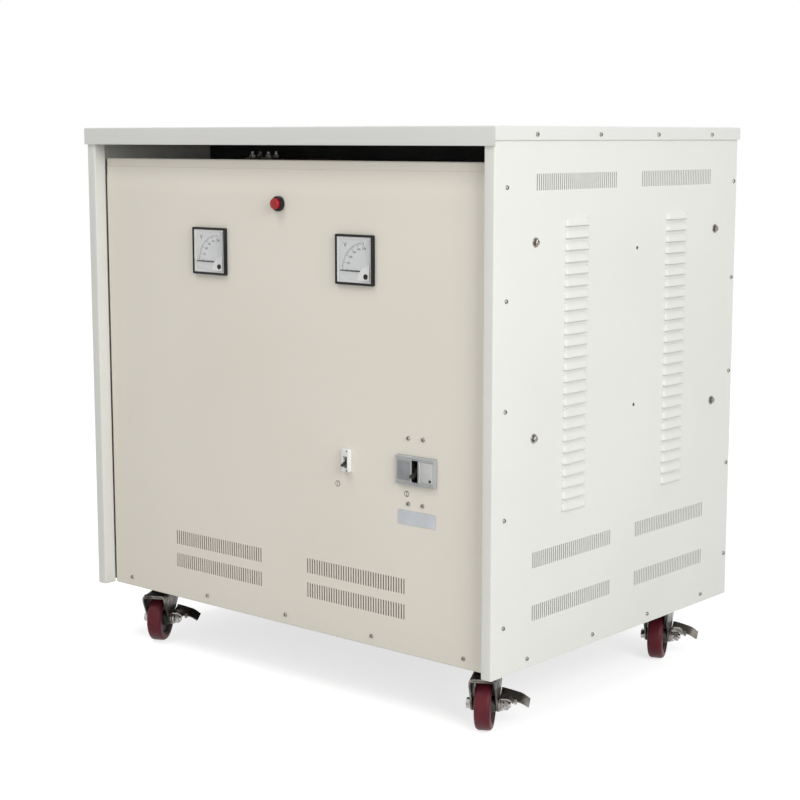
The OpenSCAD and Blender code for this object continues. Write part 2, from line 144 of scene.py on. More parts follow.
def round_rectangle(w: float, h: float, r: float, steps: int = 4) -> np.ndarray:
    """Outline of a rectangle with round corners, centred on the origin.

    Each corner is a quarter circle of radius r, and the sides are straight between them.

    Args:
        w: width along X.
        h: height along Y.
        r: radius of the corners.
        steps: segments of each quarter circle.

    Returns:
        Array of X, Y points, anticlockwise.
    """
    a = np.linspace(0, math.pi / 2, steps + 1)
    corners = []
    for k, (sx, sy) in enumerate(((1, 1), (-1, 1), (-1, -1), (1, -1))):
        t = a + k * math.pi / 2
        corners.append(np.stack([sx * (w / 2 - r) + r * np.cos(t), sy * (h / 2 - r) + r * np.sin(t)], -1))
    return np.concatenate(corners)


def slab(w: float, h: float, levels: list[tuple[float, float]], r: float = 2 * MM, hollow: bool = False,
         steps: int = 4) -> Surface:
    """A round-cornered rectangle carried through levels of (inset, height) along Z.

    At each level the outline is drawn in by the inset, so that a few levels round off an edge.

    Args:
        w: width along X.
        h: height along Y.
        levels: inset and height of each level in order.
        r: radius of the corners.
        hollow: the last level joins the first, as on a picture frame; otherwise the ends close.
        steps: segments of each corner.

    Returns:
        The closed surface.
    """
    rings = []
    for inset, z in levels:
        outline = round_rectangle(w - 2 * inset, h - 2 * inset, max(r - inset, 0.1 * MM), steps)
        rings.append(np.column_stack([outline, np.full(len(outline), z)]))
    return grid(np.array(rings), round_u=hollow, round_v=True, ends=not hollow)


def soft_levels(z0: float, z1: float, edge: float, both: bool = True) -> list[tuple[float, float]]:
    """Levels of a slab from z0 to z1 whose edges are quarter rounds of radius edge.

    Args:
        z0: the lower end.
        z1: the upper end.
        edge: radius of the rounded edges.
        both: the lower edge is rounded too.

    Returns:
        Inset and height of each level.
    """
    a = np.linspace(0, math.pi / 2, 4)
    top = [(edge * (1 - math.cos(t)), z1 - edge * (1 - math.sin(t))) for t in a]
    low = [(edge * (1 - math.cos(t)), z0 + edge * (1 - math.sin(t))) for t in a[::-1]] if both else [(0, z0)]
    return low + top


def plate(path: np.ndarray, width: float, thickness: float) -> Surface:
    """A strip of sheet bent along a path in the YZ plane and centred on X.

    Each side of the strip is the path shifted by half the thickness along its normal.

    Args:
        path: Y, Z points along the middle of the sheet.
        width: width along X, or one width for each point of the path.
        thickness: thickness of the sheet.

    Returns:
        The closed strip.
    """
    along = np.gradient(path, axis=0)
    normal = np.stack([-along[:, 1], along[:, 0]], -1) / np.linalg.norm(along, axis=1)[:, None]
    out, back = path + normal * thickness / 2, path - normal * thickness / 2
    half = np.broadcast_to(np.asarray(width, float) / 2, len(path))
    ring = [np.column_stack([s * half, side]) for s, side in ((-1, out), (1, out), (1, back), (-1, back))]
    return grid(np.stack(ring, 1), round_v=True, ends=True)


def rounded_path(corners: list[tuple[float, float]], radius: float, steps: int = 5) -> np.ndarray:
    """A line through corners, each rounded by a quadratic curve that starts radius before it.

    Args:
        corners: the corners in order.
        radius: distance from a corner at which the curve starts and ends.
        steps: points on each curve.

    Returns:
        Array of points along the line.
    """
    p = np.array(corners, float)
    t = np.linspace(0, 1, steps)[:, None]
    out = [p[:1]]
    for before, at, after in zip(p, p[1:], p[2:]):
        a = at + (before - at) / np.linalg.norm(before - at) * radius
        b = at + (after - at) / np.linalg.norm(after - at) * radius
        out.append((1 - t) ** 2 * a + 2 * t * (1 - t) * at + t**2 * b)
    return np.concatenate(out + [p[-1:]])


# ---------------------------------------------------------------- folded sheet


@dataclass(frozen=True)
class Fold:
    """A sheet's line seen from its edge: straight legs with a bend after each of them.

    Attributes:
        start: position and depth of its first point.
        heading: its first direction in degrees, where 0 runs along the sheet's face.
        legs: length of each straight leg, and the turn in degrees after it.
        radius: radius of the bends.
    """

    start: tuple[float, float]
    heading: float
    legs: tuple[tuple[float, float], ...]
    radius: float = 2 * MM

    def knots(self) -> tuple[np.ndarray, np.ndarray, np.ndarray]:
        """Distances along the line with the point and the heading at each of them.

        Returns:
            Distance, point (position and depth) and heading in radians, as arrays.
        """
        s, p, h = [0.0], [np.array(self.start, float)], [math.radians(self.heading)]
        for length, turn in self.legs:
            s.append(s[-1] + length)
            p.append(p[-1] + length * np.array([math.cos(h[-1]), math.sin(h[-1])]))
            h.append(h[-1])
            for _ in range(6 if turn else 0):
                step = math.radians(turn) / 6
                mid = h[-1] + step / 2
                chord = 2 * self.radius * abs(math.sin(step / 2))
                s.append(s[-1] + self.radius * abs(step))
                p.append(p[-1] + chord * np.array([math.cos(mid), math.sin(mid)]))
                h.append(h[-1] + step)
        return np.array(s), np.array(p), np.array(h)

    def at(self, where: np.ndarray) -> tuple[np.ndarray, np.ndarray, np.ndarray]:
        """Position, depth and heading at distances along the line."""
        s, p, h = self.knots()
        return np.interp(where, s, p[:, 0]), np.interp(where, s, p[:, 1]), np.interp(where, s, h)

    def distance(self, position: np.ndarray) -> np.ndarray:
        """Distance along the line of positions on its flat face, where the heading is 0 or 360."""
        s, p, h = self.knots()
        flat = np.abs(np.cos(h) - 1) < 1e-6
        return np.interp(position, p[flat, 0], s[flat])


def tray_fold(half: float, lip: float, radius: float, centre: float = 0.0) -> Fold:
    """The line of a sheet with a lip folded back at both ends.

    Args:
        half: half of its width.
        lip: depth of the lips.
        radius: radius of the bends.
        centre: position of its middle.

    Returns:
        The fold.
    """
    leg = lip - radius
    return Fold((centre - half, lip), -90, ((leg, 90), (2 * (half - radius), 90), (leg, 0)), radius)


@dataclass(frozen=True)
class Sheet:
    """A sheet cut with rectangular holes while flat, then folded along one or both directions."""

    across: Fold
    up: Fold
    thickness: float
    holes: np.ndarray
    relief: tuple[tuple[float, float], ...] = ()

    def surface(self) -> Surface:
        """The folded sheet as one closed shell.

        With hs and ht the headings of the two lines, the outer face is at their two positions,
        and at a depth that is the sum of their depths less r (1 - cos hs)(1 - cos ht), which
        makes a round corner where two bends meet. The inner face lies one thickness behind it
        along the normal (sin hs, sin ht, -cos hs cos ht). Cells of the grid inside a hole or a
        corner where two lips would meet are left out, and a wall closes each open edge.

        Returns:
            The shell, with position across, position up and depth as its X, Y and Z.
        """
        edges_a = self.across.distance(self.holes[:, :2].ravel())
        edges_b = self.up.distance(self.holes[:, 2:].ravel())
        steps = self.up.distance(np.array([z for z, _ in self.relief])) if self.relief else []
        s = np.unique(np.round(np.concatenate([self.across.knots()[0], edges_a]), 8))
        t = np.unique(np.round(np.concatenate([self.up.knots()[0], edges_b, steps]), 8))
        a, da, ha = (v[:, None] for v in self.across.at(s))
        b, db, hb = (v[None] for v in self.up.at(t))
        one = np.ones((len(s), len(t)))
        depth = da + db - self.up.radius * (1 - np.cos(ha)) * (1 - np.cos(hb)) * (self.up.legs[0][1] != 0)
        if self.relief:
            depth = depth + np.interp(b, *np.array(self.relief).T)
        outer = np.stack([a * one, b * one, depth * one], -1)
        normal = np.stack([np.sin(ha) * one, np.sin(hb) * one, -np.cos(ha) * np.cos(hb)], -1)
        inner = outer - normal / np.linalg.norm(normal, axis=-1, keepdims=True) * self.thickness
        sa, sb = (s[1:] + s[:-1])[:, None, None] / 2, (t[1:] + t[:-1])[None, :, None] / 2
        cut = (sa > edges_a[::2]) & (sa < edges_a[1::2]) & (sb > edges_b[::2]) & (sb < edges_b[1::2])
        lip_a = np.abs(np.sin((ha[1:] + ha[:-1]) / 2)) > 0.999
        lip_b = np.abs(np.sin((hb[:, 1:] + hb[:, :-1]) / 2)) > 0.999
        keep = ~cut.any(-1) & ~(lip_a & lip_b)
        index = np.arange(len(s) * len(t)).reshape(len(s), len(t))
        back = index + index.size
        i, j = np.nonzero(keep)
        front_faces = np.stack([index[i, j], index[i + 1, j], index[i + 1, j + 1], index[i, j + 1]], -1)
        rear_faces = front_faces[:, ::-1] + index.size
        wide = np.pad(keep, 1)
        i, j = np.nonzero(wide[1:, 1:-1] != wide[:-1, 1:-1])
        walls_a = np.stack([index[i, j], index[i, j + 1], back[i, j + 1], back[i, j]], -1)
        i, j = np.nonzero(wide[1:-1, 1:] != wide[1:-1, :-1])
        walls_b = np.stack([index[i, j], index[i + 1, j], back[i + 1, j], back[i, j]], -1)
        points = np.concatenate([outer.reshape(-1, 3), inner.reshape(-1, 3)])
        return Surface(points, [front_faces, rear_faces, walls_a, walls_b])


# ---------------------------------------------------------------- pieces


def build_mesh(name: str, surface: Surface, sharp: float = 35.0) -> bpy.types.Object:
    """Puts a surface into a mesh object, with its doubles merged and its faces outwards.

    Args:
        name: name of the object.
        surface: the points and faces.
        sharp: edges that turn by more than this many degrees stay sharp.

    Returns:
        The new object, linked to the scene.
    """
    mesh = bpy.data.meshes.new(name)
    sizes = np.concatenate([np.full(len(f), f.shape[1]) for f in surface.faces]).astype(np.int32)
    mesh.vertices.add(len(surface.points))
    mesh.vertices.foreach_set("co", surface.points.astype(np.float32).ravel())
    mesh.loops.add(int(sizes.sum()))
    mesh.loops.foreach_set("vertex_index", np.concatenate([f.ravel() for f in surface.faces]).astype(np.int32))
    mesh.polygons.add(len(sizes))
    mesh.polygons.foreach_set("loop_start", np.concatenate([[0], np.cumsum(sizes)[:-1]]).astype(np.int32))
    mesh.update(calc_edges=True)
    mesh.validate()
    shell = bmesh.new()
    shell.from_mesh(mesh)
    bmesh.ops.remove_doubles(shell, verts=shell.verts, dist=2e-6)
    bmesh.ops.dissolve_degenerate(shell, edges=shell.edges, dist=1e-7)
    loose = [v for v in shell.verts if not v.link_faces]
    bmesh.ops.delete(shell, geom=loose, context="VERTS")
    bmesh.ops.recalc_face_normals(shell, faces=shell.faces)
    shell.to_mesh(mesh)
    shell.free()
    mesh.polygons.foreach_set("use_smooth", np.ones(len(mesh.polygons), bool))
    mesh.set_sharp_from_angle(angle=math.radians(sharp))
    obj = bpy.data.objects.new(name, mesh)
    bpy.context.scene.collection.objects.link(obj)
    return obj


def add_piece(name: str, surface: Surface, material: bpy.types.Material, body: str,
              stands_for: tuple[str, ...] = (), sharp: float = 35.0) -> bpy.types.Object:
    """Makes a piece of the object: its mesh, its finish and the body that it rides on.

    Args:
        name: name of the piece.
        surface: its points and faces.
        material: its finish.
        body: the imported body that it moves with.
        stands_for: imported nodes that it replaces.
        sharp: edges that turn by more than this many degrees stay sharp.

    Returns:
        The piece.
    """
    obj = build_mesh(name, surface, sharp)
    obj.data.materials.append(material)
    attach(obj, body)
    if stands_for:
        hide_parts(*stands_for)
    LOG.info("%s: %d faces on %s", name, len(obj.data.polygons), body)
    return obj


def dress_node(node: str, material: bpy.types.Material) -> None:
    """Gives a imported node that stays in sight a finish."""
    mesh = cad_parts[node].data
    mesh.materials.clear()
    mesh.materials.append(material)


# ---------------------------------------------------------------- finishes


def group_tree(name: str, inputs: dict[str, float], outputs: dict[str, str]) -> bpy.types.NodeTree:
    """A shader node group with float inputs.

    Args:
        name: name of the group.
        inputs: name and default of each input.
        outputs: name and socket type of each output.

    Returns:
        The group's tree, with its input and output nodes.
    """
    tree = bpy.data.node_groups.new(name, "ShaderNodeTree")
    for key, value in inputs.items():
        socket = tree.interface.new_socket(name=key, in_out="INPUT", socket_type="NodeSocketFloat")
        socket.default_value = value
    for key, kind in outputs.items():
        tree.interface.new_socket(name=key, in_out="OUTPUT", socket_type=kind)
    tree.nodes.new("NodeGroupInput").name = "In"
    tree.nodes.new("NodeGroupOutput").name = "Out"
    return tree


def noise(tree: bpy.types.NodeTree, scale: float | bpy.types.NodeSocket, detail: float = 3.0,
          stretch: tuple[float, float, float] = (1, 1, 1)) -> bpy.types.NodeSocket:
    """A noise pattern on Object coordinates.

    Args:
        tree: the node tree to add it to.
        scale: its scale, as a number or a socket.
        detail: octaves of finer noise.
        stretch: factors on the three coordinates.

    Returns:
        The noise's value socket, from 0 to 1.
    """
    place = tree.nodes.new("ShaderNodeTexCoord")
    mapping = tree.nodes.new("ShaderNodeMapping")
    mapping.inputs["Scale"].default_value = stretch
    node = tree.nodes.new("ShaderNodeTexNoise")
    node.inputs["Detail"].default_value = detail
    tree.links.new(place.outputs["Object"], mapping.inputs["Vector"])
    tree.links.new(mapping.outputs["Vector"], node.inputs["Vector"])
    if isinstance(scale, bpy.types.NodeSocket):
        tree.links.new(scale, node.inputs["Scale"])
    else:
        node.inputs["Scale"].default_value = scale
    return node.outputs["Fac"]


def spread(tree: bpy.types.NodeTree, value: bpy.types.NodeSocket, low: float, high: float,
           to_low: float = 0.0, to_high: float = 1.0) -> bpy.types.NodeSocket:
    """Maps a value from one range to another, clamped."""
    node = tree.nodes.new("ShaderNodeMapRange")
    for key, number in (("From Min", low), ("From Max", high), ("To Min", to_low), ("To Max", to_high)):
        node.inputs[key].default_value = number
    tree.links.new(value, node.inputs["Value"])
    return node.outputs["Result"]


def blend_colour(tree: bpy.types.NodeTree, fac: bpy.types.NodeSocket, a: tuple, b: tuple) -> bpy.types.NodeSocket:
    """A colour between a, where fac is 0, and b, where it is 1."""
    node = tree.nodes.new("ShaderNodeMix")
    node.data_type = "RGBA"
    node.inputs["A"].default_value = (*a, 1)
    node.inputs["B"].default_value = (*b, 1)
    tree.links.new(fac, node.inputs["Factor"])
    return node.outputs["Result"]


def peel_group() -> bpy.types.NodeTree:
    """Orange peel of sprayed or moulded skin, built once: a fine height and a broad mottle.

    Height is noise at the given scale. Mottle is slow noise from 0 to 1 that clouds the colour
    and the gloss. Dust is 1 near the floor and fades out with height, broken up by noise.

    Returns:
        The group's tree.
    """
    name = "skin_peel"
    if name in bpy.data.node_groups:
        return bpy.data.node_groups[name]
    kinds = {"Height": "NodeSocketFloat", "Mottle": "NodeSocketFloat", "Dust": "NodeSocketFloat"}
    tree = group_tree(name, {"Peel Scale": 900.0, "Mottle Scale": 3.0, "Dust Height": 0.3}, kinds)
    source, out = tree.nodes["In"], tree.nodes["Out"]
    tree.links.new(noise(tree, source.outputs["Peel Scale"], 2.0), out.inputs["Height"])
    cloud = spread(tree, noise(tree, source.outputs["Mottle Scale"], 4.0), 0.3, 0.7)
    tree.links.new(cloud, out.inputs["Mottle"])
    place = tree.nodes.new("ShaderNodeTexCoord")
    split = tree.nodes.new("ShaderNodeSeparateXYZ")
    tree.links.new(place.outputs["Object"], split.inputs["Vector"])
    fade = tree.nodes.new("ShaderNodeMapRange")
    fade.inputs["To Min"].default_value = 1.0
    fade.inputs["To Max"].default_value = 0.0
    tree.links.new(split.outputs["Z"], fade.inputs["Value"])
    tree.links.new(source.outputs["Dust Height"], fade.inputs["From Max"])
    patch = tree.nodes.new("ShaderNodeMath")
    patch.operation = "MULTIPLY"
    tree.links.new(fade.outputs["Result"], patch.inputs[0])
    tree.links.new(spread(tree, noise(tree, 40.0, 5.0), 0.35, 0.75), patch.inputs[1])
    tree.links.new(patch.outputs["Value"], out.inputs["Dust"])
    return tree


def scratch_group() -> bpy.types.NodeTree:
    """Fine rubbed lines of rolled or plated metal, built once: stretched noise and dull patches.

    Returns:
        The group's tree, with Height for the bump and Dull for gloss and colour.
    """
    name = "rubbed_metal"
    if name in bpy.data.node_groups:
        return bpy.data.node_groups[name]
    tree = group_tree(name, {"Line Scale": 220.0, "Patch Scale": 60.0},
                      {"Height": "NodeSocketFloat", "Dull": "NodeSocketFloat"})
    source, out = tree.nodes["In"], tree.nodes["Out"]
    tree.links.new(noise(tree, source.outputs["Line Scale"], 3.0, (0.12, 1, 1)), out.inputs["Height"])
    patch = spread(tree, noise(tree, source.outputs["Patch Scale"], 5.0), 0.35, 0.65)
    tree.links.new(patch, out.inputs["Dull"])
    return tree


def principled(name: str) -> tuple[bpy.types.Material, bpy.types.NodeTree, bpy.types.Node]:
    """A new material with its tree and its Principled shader."""
    material = bpy.data.materials.new(name)
    material.use_nodes = True
    return material, material.node_tree, material.node_tree.nodes["Principled BSDF"]


def add_bump(tree: bpy.types.NodeTree, shader: bpy.types.Node, height: bpy.types.NodeSocket,
             depth: float, strength: float = 1.0) -> None:
    """Feeds a height, as deep as depth in metres, to the shader's normal."""
    bump = tree.nodes.new("ShaderNodeBump")
    bump.inputs["Distance"].default_value = depth
    bump.inputs["Strength"].default_value = strength
    tree.links.new(height, bump.inputs["Height"])
    tree.links.new(bump.outputs["Normal"], shader.inputs["Normal"])


@dataclass(frozen=True)
class SkinFinish:
    """Sprayed paint, powder coat, moulded plastic or rubber."""

    name: str
    colour: tuple[float, float, float]
    cloud: tuple[float, float, float]
    dust: tuple[float, float, float] = (0.30, 0.27, 0.23)
    roughness: float = 0.45
    peel_scale: float = 900.0
    peel_depth: float = 0.02 * MM
    mottle_scale: float = 3.0
    dust_height: float = 0.0
    specular: float = 0.2

    def material(self) -> bpy.types.Material:
        """The material, built on first use."""
        if self.name in bpy.data.materials:
            return bpy.data.materials[self.name]
        material, tree, shader = principled(self.name)
        skin = tree.nodes.new("ShaderNodeGroup")
        skin.node_tree = peel_group()
        skin.inputs["Peel Scale"].default_value = self.peel_scale
        skin.inputs["Mottle Scale"].default_value = self.mottle_scale
        skin.inputs["Dust Height"].default_value = max(self.dust_height, 0.001)
        colour = blend_colour(tree, skin.outputs["Mottle"], self.colour, self.cloud)
        if self.dust_height:
            dusty = tree.nodes.new("ShaderNodeMix")
            dusty.data_type = "RGBA"
            dusty.inputs["B"].default_value = (*self.dust, 1)
            tree.links.new(colour, dusty.inputs["A"])
            tree.links.new(spread(tree, skin.outputs["Dust"], 0, 1, 0, 0.55), dusty.inputs["Factor"])
            colour = dusty.outputs["Result"]
        tree.links.new(colour, shader.inputs["Base Color"])
        gloss = spread(tree, skin.outputs["Mottle"], 0, 1, self.roughness - 0.05, self.roughness + 0.05)
        tree.links.new(gloss, shader.inputs["Roughness"])
        shader.inputs["Specular IOR Level"].default_value = self.specular
        add_bump(tree, shader, skin.outputs["Height"], self.peel_depth)
        return material


@dataclass(frozen=True)
class MetalFinish:
    """Bare or plated metal with rubbed lines and dull patches."""

    name: str
    bright: tuple[float, float, float]
    dull: tuple[float, float, float]
    roughness: tuple[float, float] = (0.25, 0.5)
    metallic: float = 1.0
    line_scale: float = 220.0
    patch_scale: float = 60.0
    depth: float = 0.02 * MM

    def material(self) -> bpy.types.Material:
        """The material, built on first use."""
        if self.name in bpy.data.materials:
            return bpy.data.materials[self.name]
        material, tree, shader = principled(self.name)
        metal = tree.nodes.new("ShaderNodeGroup")
        metal.node_tree = scratch_group()
        metal.inputs["Line Scale"].default_value = self.line_scale
        metal.inputs["Patch Scale"].default_value = self.patch_scale
        colour = blend_colour(tree, metal.outputs["Dull"], self.bright, self.dull)
        tree.links.new(colour, shader.inputs["Base Color"])
        tree.links.new(spread(tree, metal.outputs["Dull"], 0, 1, *self.roughness), shader.inputs["Roughness"])
        shader.inputs["Metallic"].default_value = self.metallic
        add_bump(tree, shader, metal.outputs["Height"], self.depth)
        return material


@dataclass(frozen=True)
class ClearFinish:
    """Clear or coloured glass and see-through plastic."""

    name: str
    colour: tuple[float, float, float]
    roughness: float = 0.03
    transmission: float = 1.0

    def material(self) -> bpy.types.Material:
        """The material, built on first use."""
        if self.name in bpy.data.materials:
            return bpy.data.materials[self.name]
        material, tree, shader = principled(self.name)
        shader.inputs["Base Color"].default_value = (*self.colour, 1)
        shader.inputs["Transmission Weight"].default_value = self.transmission
        shader.inputs["IOR"].default_value = 1.46
        gloss = spread(tree, noise(tree, 120.0), 0.3, 0.7, self.roughness, self.roughness + 0.05)
        tree.links.new(gloss, shader.inputs["Roughness"])
        return material


@dataclass(frozen=True)
class LayeredFinish:
    """Stacked laminations or wound wire: dark and light lines across one direction."""

    name: str
    colour: tuple[float, float, float]
    groove: tuple[float, float, float]
    pitch: float
    axis: str = "Y"
    roughness: float = 0.5
    depth: float = 0.3 * MM

    def material(self) -> bpy.types.Material:
        """The material, built on first use. The line pattern is a sine wave of the given pitch."""
        if self.name in bpy.data.materials:
            return bpy.data.materials[self.name]
        material, tree, shader = principled(self.name)
        place = tree.nodes.new("ShaderNodeTexCoord")
        wave = tree.nodes.new("ShaderNodeTexWave")
        wave.bands_direction = self.axis
        wave.inputs["Scale"].default_value = math.pi / 10 / self.pitch
        wave.inputs["Distortion"].default_value = 0.4
        tree.links.new(place.outputs["Object"], wave.inputs["Vector"])
        tree.links.new(blend_colour(tree, wave.outputs["Fac"], self.groove, self.colour),
                       shader.inputs["Base Color"])
        gloss = spread(tree, noise(tree, 30.0), 0.3, 0.7, self.roughness - 0.1, self.roughness + 0.1)
        tree.links.new(gloss, shader.inputs["Roughness"])
        add_bump(tree, shader, wave.outputs["Fac"], self.depth)
        return material


PANEL_WHITE = SkinFinish("look_panel_white", (0.77, 0.77, 0.73), (0.74, 0.74, 0.70), roughness=0.45, specular=0.35)
FRONT_CREAM = SkinFinish("look_front_cream", (0.835, 0.79, 0.70), (0.81, 0.765, 0.675), roughness=0.5, specular=0.3)
LID_WHITE = SkinFinish("look_lid_white", (0.73, 0.73, 0.705), (0.71, 0.71, 0.685), roughness=0.45, specular=0.35)
RAIL_BLACK = SkinFinish("look_rail_black", (0.035, 0.033, 0.032), (0.06, 0.055, 0.05), roughness=0.5, mottle_scale=12)
CLAMP_BLACK = SkinFinish("look_clamp_black", (0.05, 0.05, 0.05), (0.03, 0.03, 0.03), roughness=0.45, mottle_scale=9)
BOARD_BROWN = SkinFinish("look_board_brown", (0.10, 0.05, 0.03), (0.14, 0.07, 0.04), roughness=0.5, mottle_scale=30)
METER_BLACK = SkinFinish("look_meter_black", (0.014, 0.014, 0.014), (0.02, 0.02, 0.02), roughness=0.32,
                         peel_scale=2500, peel_depth=0.01 * MM, mottle_scale=40)
METER_RIM = SkinFinish("look_meter_rim_white", (0.86, 0.86, 0.85), (0.83, 0.83, 0.82), roughness=0.35, mottle_scale=40)
DIAL_WHITE = SkinFinish("look_dial_white", (0.74, 0.75, 0.75), (0.72, 0.73, 0.73), roughness=0.5, mottle_scale=50)
PRINT_BLACK = SkinFinish("look_print_black", (0.03, 0.03, 0.03), (0.05, 0.05, 0.05), roughness=0.6, mottle_scale=200)
POINTER_BLACK = SkinFinish("look_pointer_black", (0.012, 0.012, 0.012), (0.02, 0.02, 0.02), roughness=0.5,
                           mottle_scale=80)
BREAKER_WHITE = SkinFinish("look_breaker_white", (0.84, 0.84, 0.83), (0.80, 0.80, 0.79), roughness=0.38,
                           peel_scale=2000, mottle_scale=60)
BREAKER_GREY = SkinFinish("look_breaker_grey", (0.47, 0.485, 0.485), (0.43, 0.445, 0.445), roughness=0.42,
                          peel_scale=2200, mottle_scale=35)
BREAKER_PALE = SkinFinish("look_breaker_pale", (0.60, 0.61, 0.60), (0.55, 0.56, 0.55), roughness=0.4,
                          peel_scale=2200, mottle_scale=35)
BREAKER_DARK = SkinFinish("look_breaker_label", (0.30, 0.31, 0.32), (0.26, 0.27, 0.28), roughness=0.4,
                          peel_scale=2200, mottle_scale=50)
HANDLE_BLACK = SkinFinish("look_handle_black", (0.016, 0.016, 0.016), (0.028, 0.026, 0.025), roughness=0.35,
                          peel_scale=2000, mottle_scale=60)
WHEEL_BLACK = SkinFinish("look_wheel_black", (0.012, 0.012, 0.012), (0.03, 0.028, 0.026), roughness=0.5,
                         mottle_scale=25, dust_height=0.09)
TREAD_MAROON = SkinFinish("look_tread_maroon", (0.125, 0.016, 0.025), (0.090, 0.012, 0.019), dust=(0.13, 0.09, 0.08),
                          roughness=0.42, peel_scale=600, peel_depth=0.04 * MM, mottle_scale=30,
                          dust_height=0.035)
CASTER_STEEL = MetalFinish("look_caster_steel", (0.22, 0.20, 0.18), (0.07, 0.064, 0.058), (0.28, 0.55),
                           line_scale=160, patch_scale=45, depth=0.05 * MM)
BRAKE_STEEL = MetalFinish("look_brake_steel", (0.42, 0.385, 0.35), (0.15, 0.137, 0.125), (0.25, 0.5),
                          line_scale=160, patch_scale=45, depth=0.05 * MM)
AXLE_ZINC = MetalFinish("look_axle_zinc", (0.55, 0.54, 0.52), (0.30, 0.28, 0.26), (0.18, 0.42), patch_scale=150)
SCREW_ZINC = MetalFinish("look_screw_zinc", (0.42, 0.40, 0.36), (0.17, 0.16, 0.14), (0.15, 0.35), patch_scale=400)
LABEL_GREY = MetalFinish("look_label_grey", (0.52, 0.54, 0.565), (0.46, 0.48, 0.505), (0.35, 0.45), metallic=0.6,
                         line_scale=500, patch_scale=25)
LENS_RED = ClearFinish("look_lamp_red", (0.46, 0.004, 0.014), 0.12, 0.25)
GLASS = ClearFinish("look_meter_glass", (1.0, 1.0, 1.0), 0.0)
CORE_STEEL = LayeredFinish("look_core_steel", (0.09, 0.085, 0.08), (0.02, 0.02, 0.02), 1.5 * MM, "Y")
COIL_VARNISH = LayeredFinish("look_coil_varnish", (0.20, 0.10, 0.045), (0.07, 0.03, 0.015), 4 * MM, "Z", 0.35, 0.8 * MM)


# ---------------------------------------------------------------- fasteners


class Head(Enum):
    """Kinds of fastener heads on the cabinet."""

    PAN = "pan"
    WASHER_BOLT = "washer_bolt"
    STUD = "stud"


def pan_head(d: float, h: float) -> Surface:
    """A cross-recessed pan head with its back on z = 0.

    On a polar grid the height is h (1 - 0.55 q^3 - 0.45 q^12) for q from 0 to 1, less the depth
    of a cross within 0.6 of the radius, where |x| or |y| is under 0.13 of it.

    Args:
        d: its diameter.
        h: its height.

    Returns:
        The closed head.
    """
    q = np.array([0, 0.1, 0.2, 0.35, 0.5, 0.58, 0.63, 0.8, 0.93, 1.0, 1.0])[:, None]
    a = np.arange(32)[None] * math.pi / 16
    x, y = q * np.cos(a), q * np.sin(a)
    in_cross = (np.minimum(np.abs(x), np.abs(y)) < 0.13) & (q < 0.6)
    z = h * (1 - 0.5 * q**3 - 0.2 * q**12) - 0.45 * h * in_cross
    z = np.where(np.arange(len(q))[:, None] == len(q) - 1, 0.0, z)
    return grid(np.stack([x * d / 2, y * d / 2, z + 0 * a], -1), round_v=True, ends=True)


def hex_prism(across: float, z0: float, z1: float) -> Surface:
    """A hexagonal nut or bolt head between two heights, with its corners chamfered.

    Args:
        across: width across flats.
        z0: lower height.
        z1: upper height.

    Returns:
        The closed prism.
    """
    r, c = across / math.sqrt(3), 0.07 * across
    return joined(lathe([(0, z0), (r - c, z0), (r, z0 + c * 0.6), (r, z1 - c * 0.6), (r - c, z1), (0, z1)], 6, False))


def head_surface(kind: Head) -> Surface:
    """The shape of one fastener, standing on z = 0.

    Args:
        kind: which fastener.

    Returns:
        Its closed surface.
    """
    if kind is Head.PAN:
        return pan_head(8.6 * MM, 3.0 * MM)
    if kind is Head.WASHER_BOLT:
        washer = lathe([(0, 0), (9 * MM, 0), (9 * MM, 1.2 * MM), (8.4 * MM, 1.6 * MM), (0, 1.6 * MM)], 32, False)
        spring = lathe([(0, 1.6 * MM), (6.4 * MM, 1.6 * MM), (6.4 * MM, 2.8 * MM), (0, 2.8 * MM)], 28, False)
        return joined(washer, spring, hex_prism(10 * MM, 2.8 * MM, 6.4 * MM))
    nut = hex_prism(13 * MM, 2 * MM, 9 * MM)
    washer = lathe([(0, 0), (10 * MM, 0), (10 * MM, 2 * MM), (0, 2 * MM)], 28, False)
    stud = lathe([(0, 9 * MM), (4 * MM, 9 * MM), (4 * MM, 15 * MM), (3 * MM, 16 * MM), (0, 16 * MM)], 16, False)
    return joined(washer, nut, stud)


def fasteners(name: str, kind: Head, places: np.ndarray, facing: tuple[float, float, float],
              body: str = "cabinet") -> None:
    """A row of equal fasteners that stand out along one direction, as one piece.

    Args:
        name: name of the piece.
        kind: which fastener.
        places: X, Y, Z of each foot.
        facing: the direction in which the heads stand out.
        body: the body that carries them.
    """
    z = np.array(facing, float)
    side = np.cross(z, (0, 1, 0) if abs(z[2]) > 0.5 else (0, 0, 1))
    side = side / np.linalg.norm(side)
    one = head_surface(kind).placed(x=side, y=np.cross(z, side), z=z)
    add_piece(name, one.repeated(places), SCREW_ZINC.material(), body, sharp=30)


# ---------------------------------------------------------------- cabinet


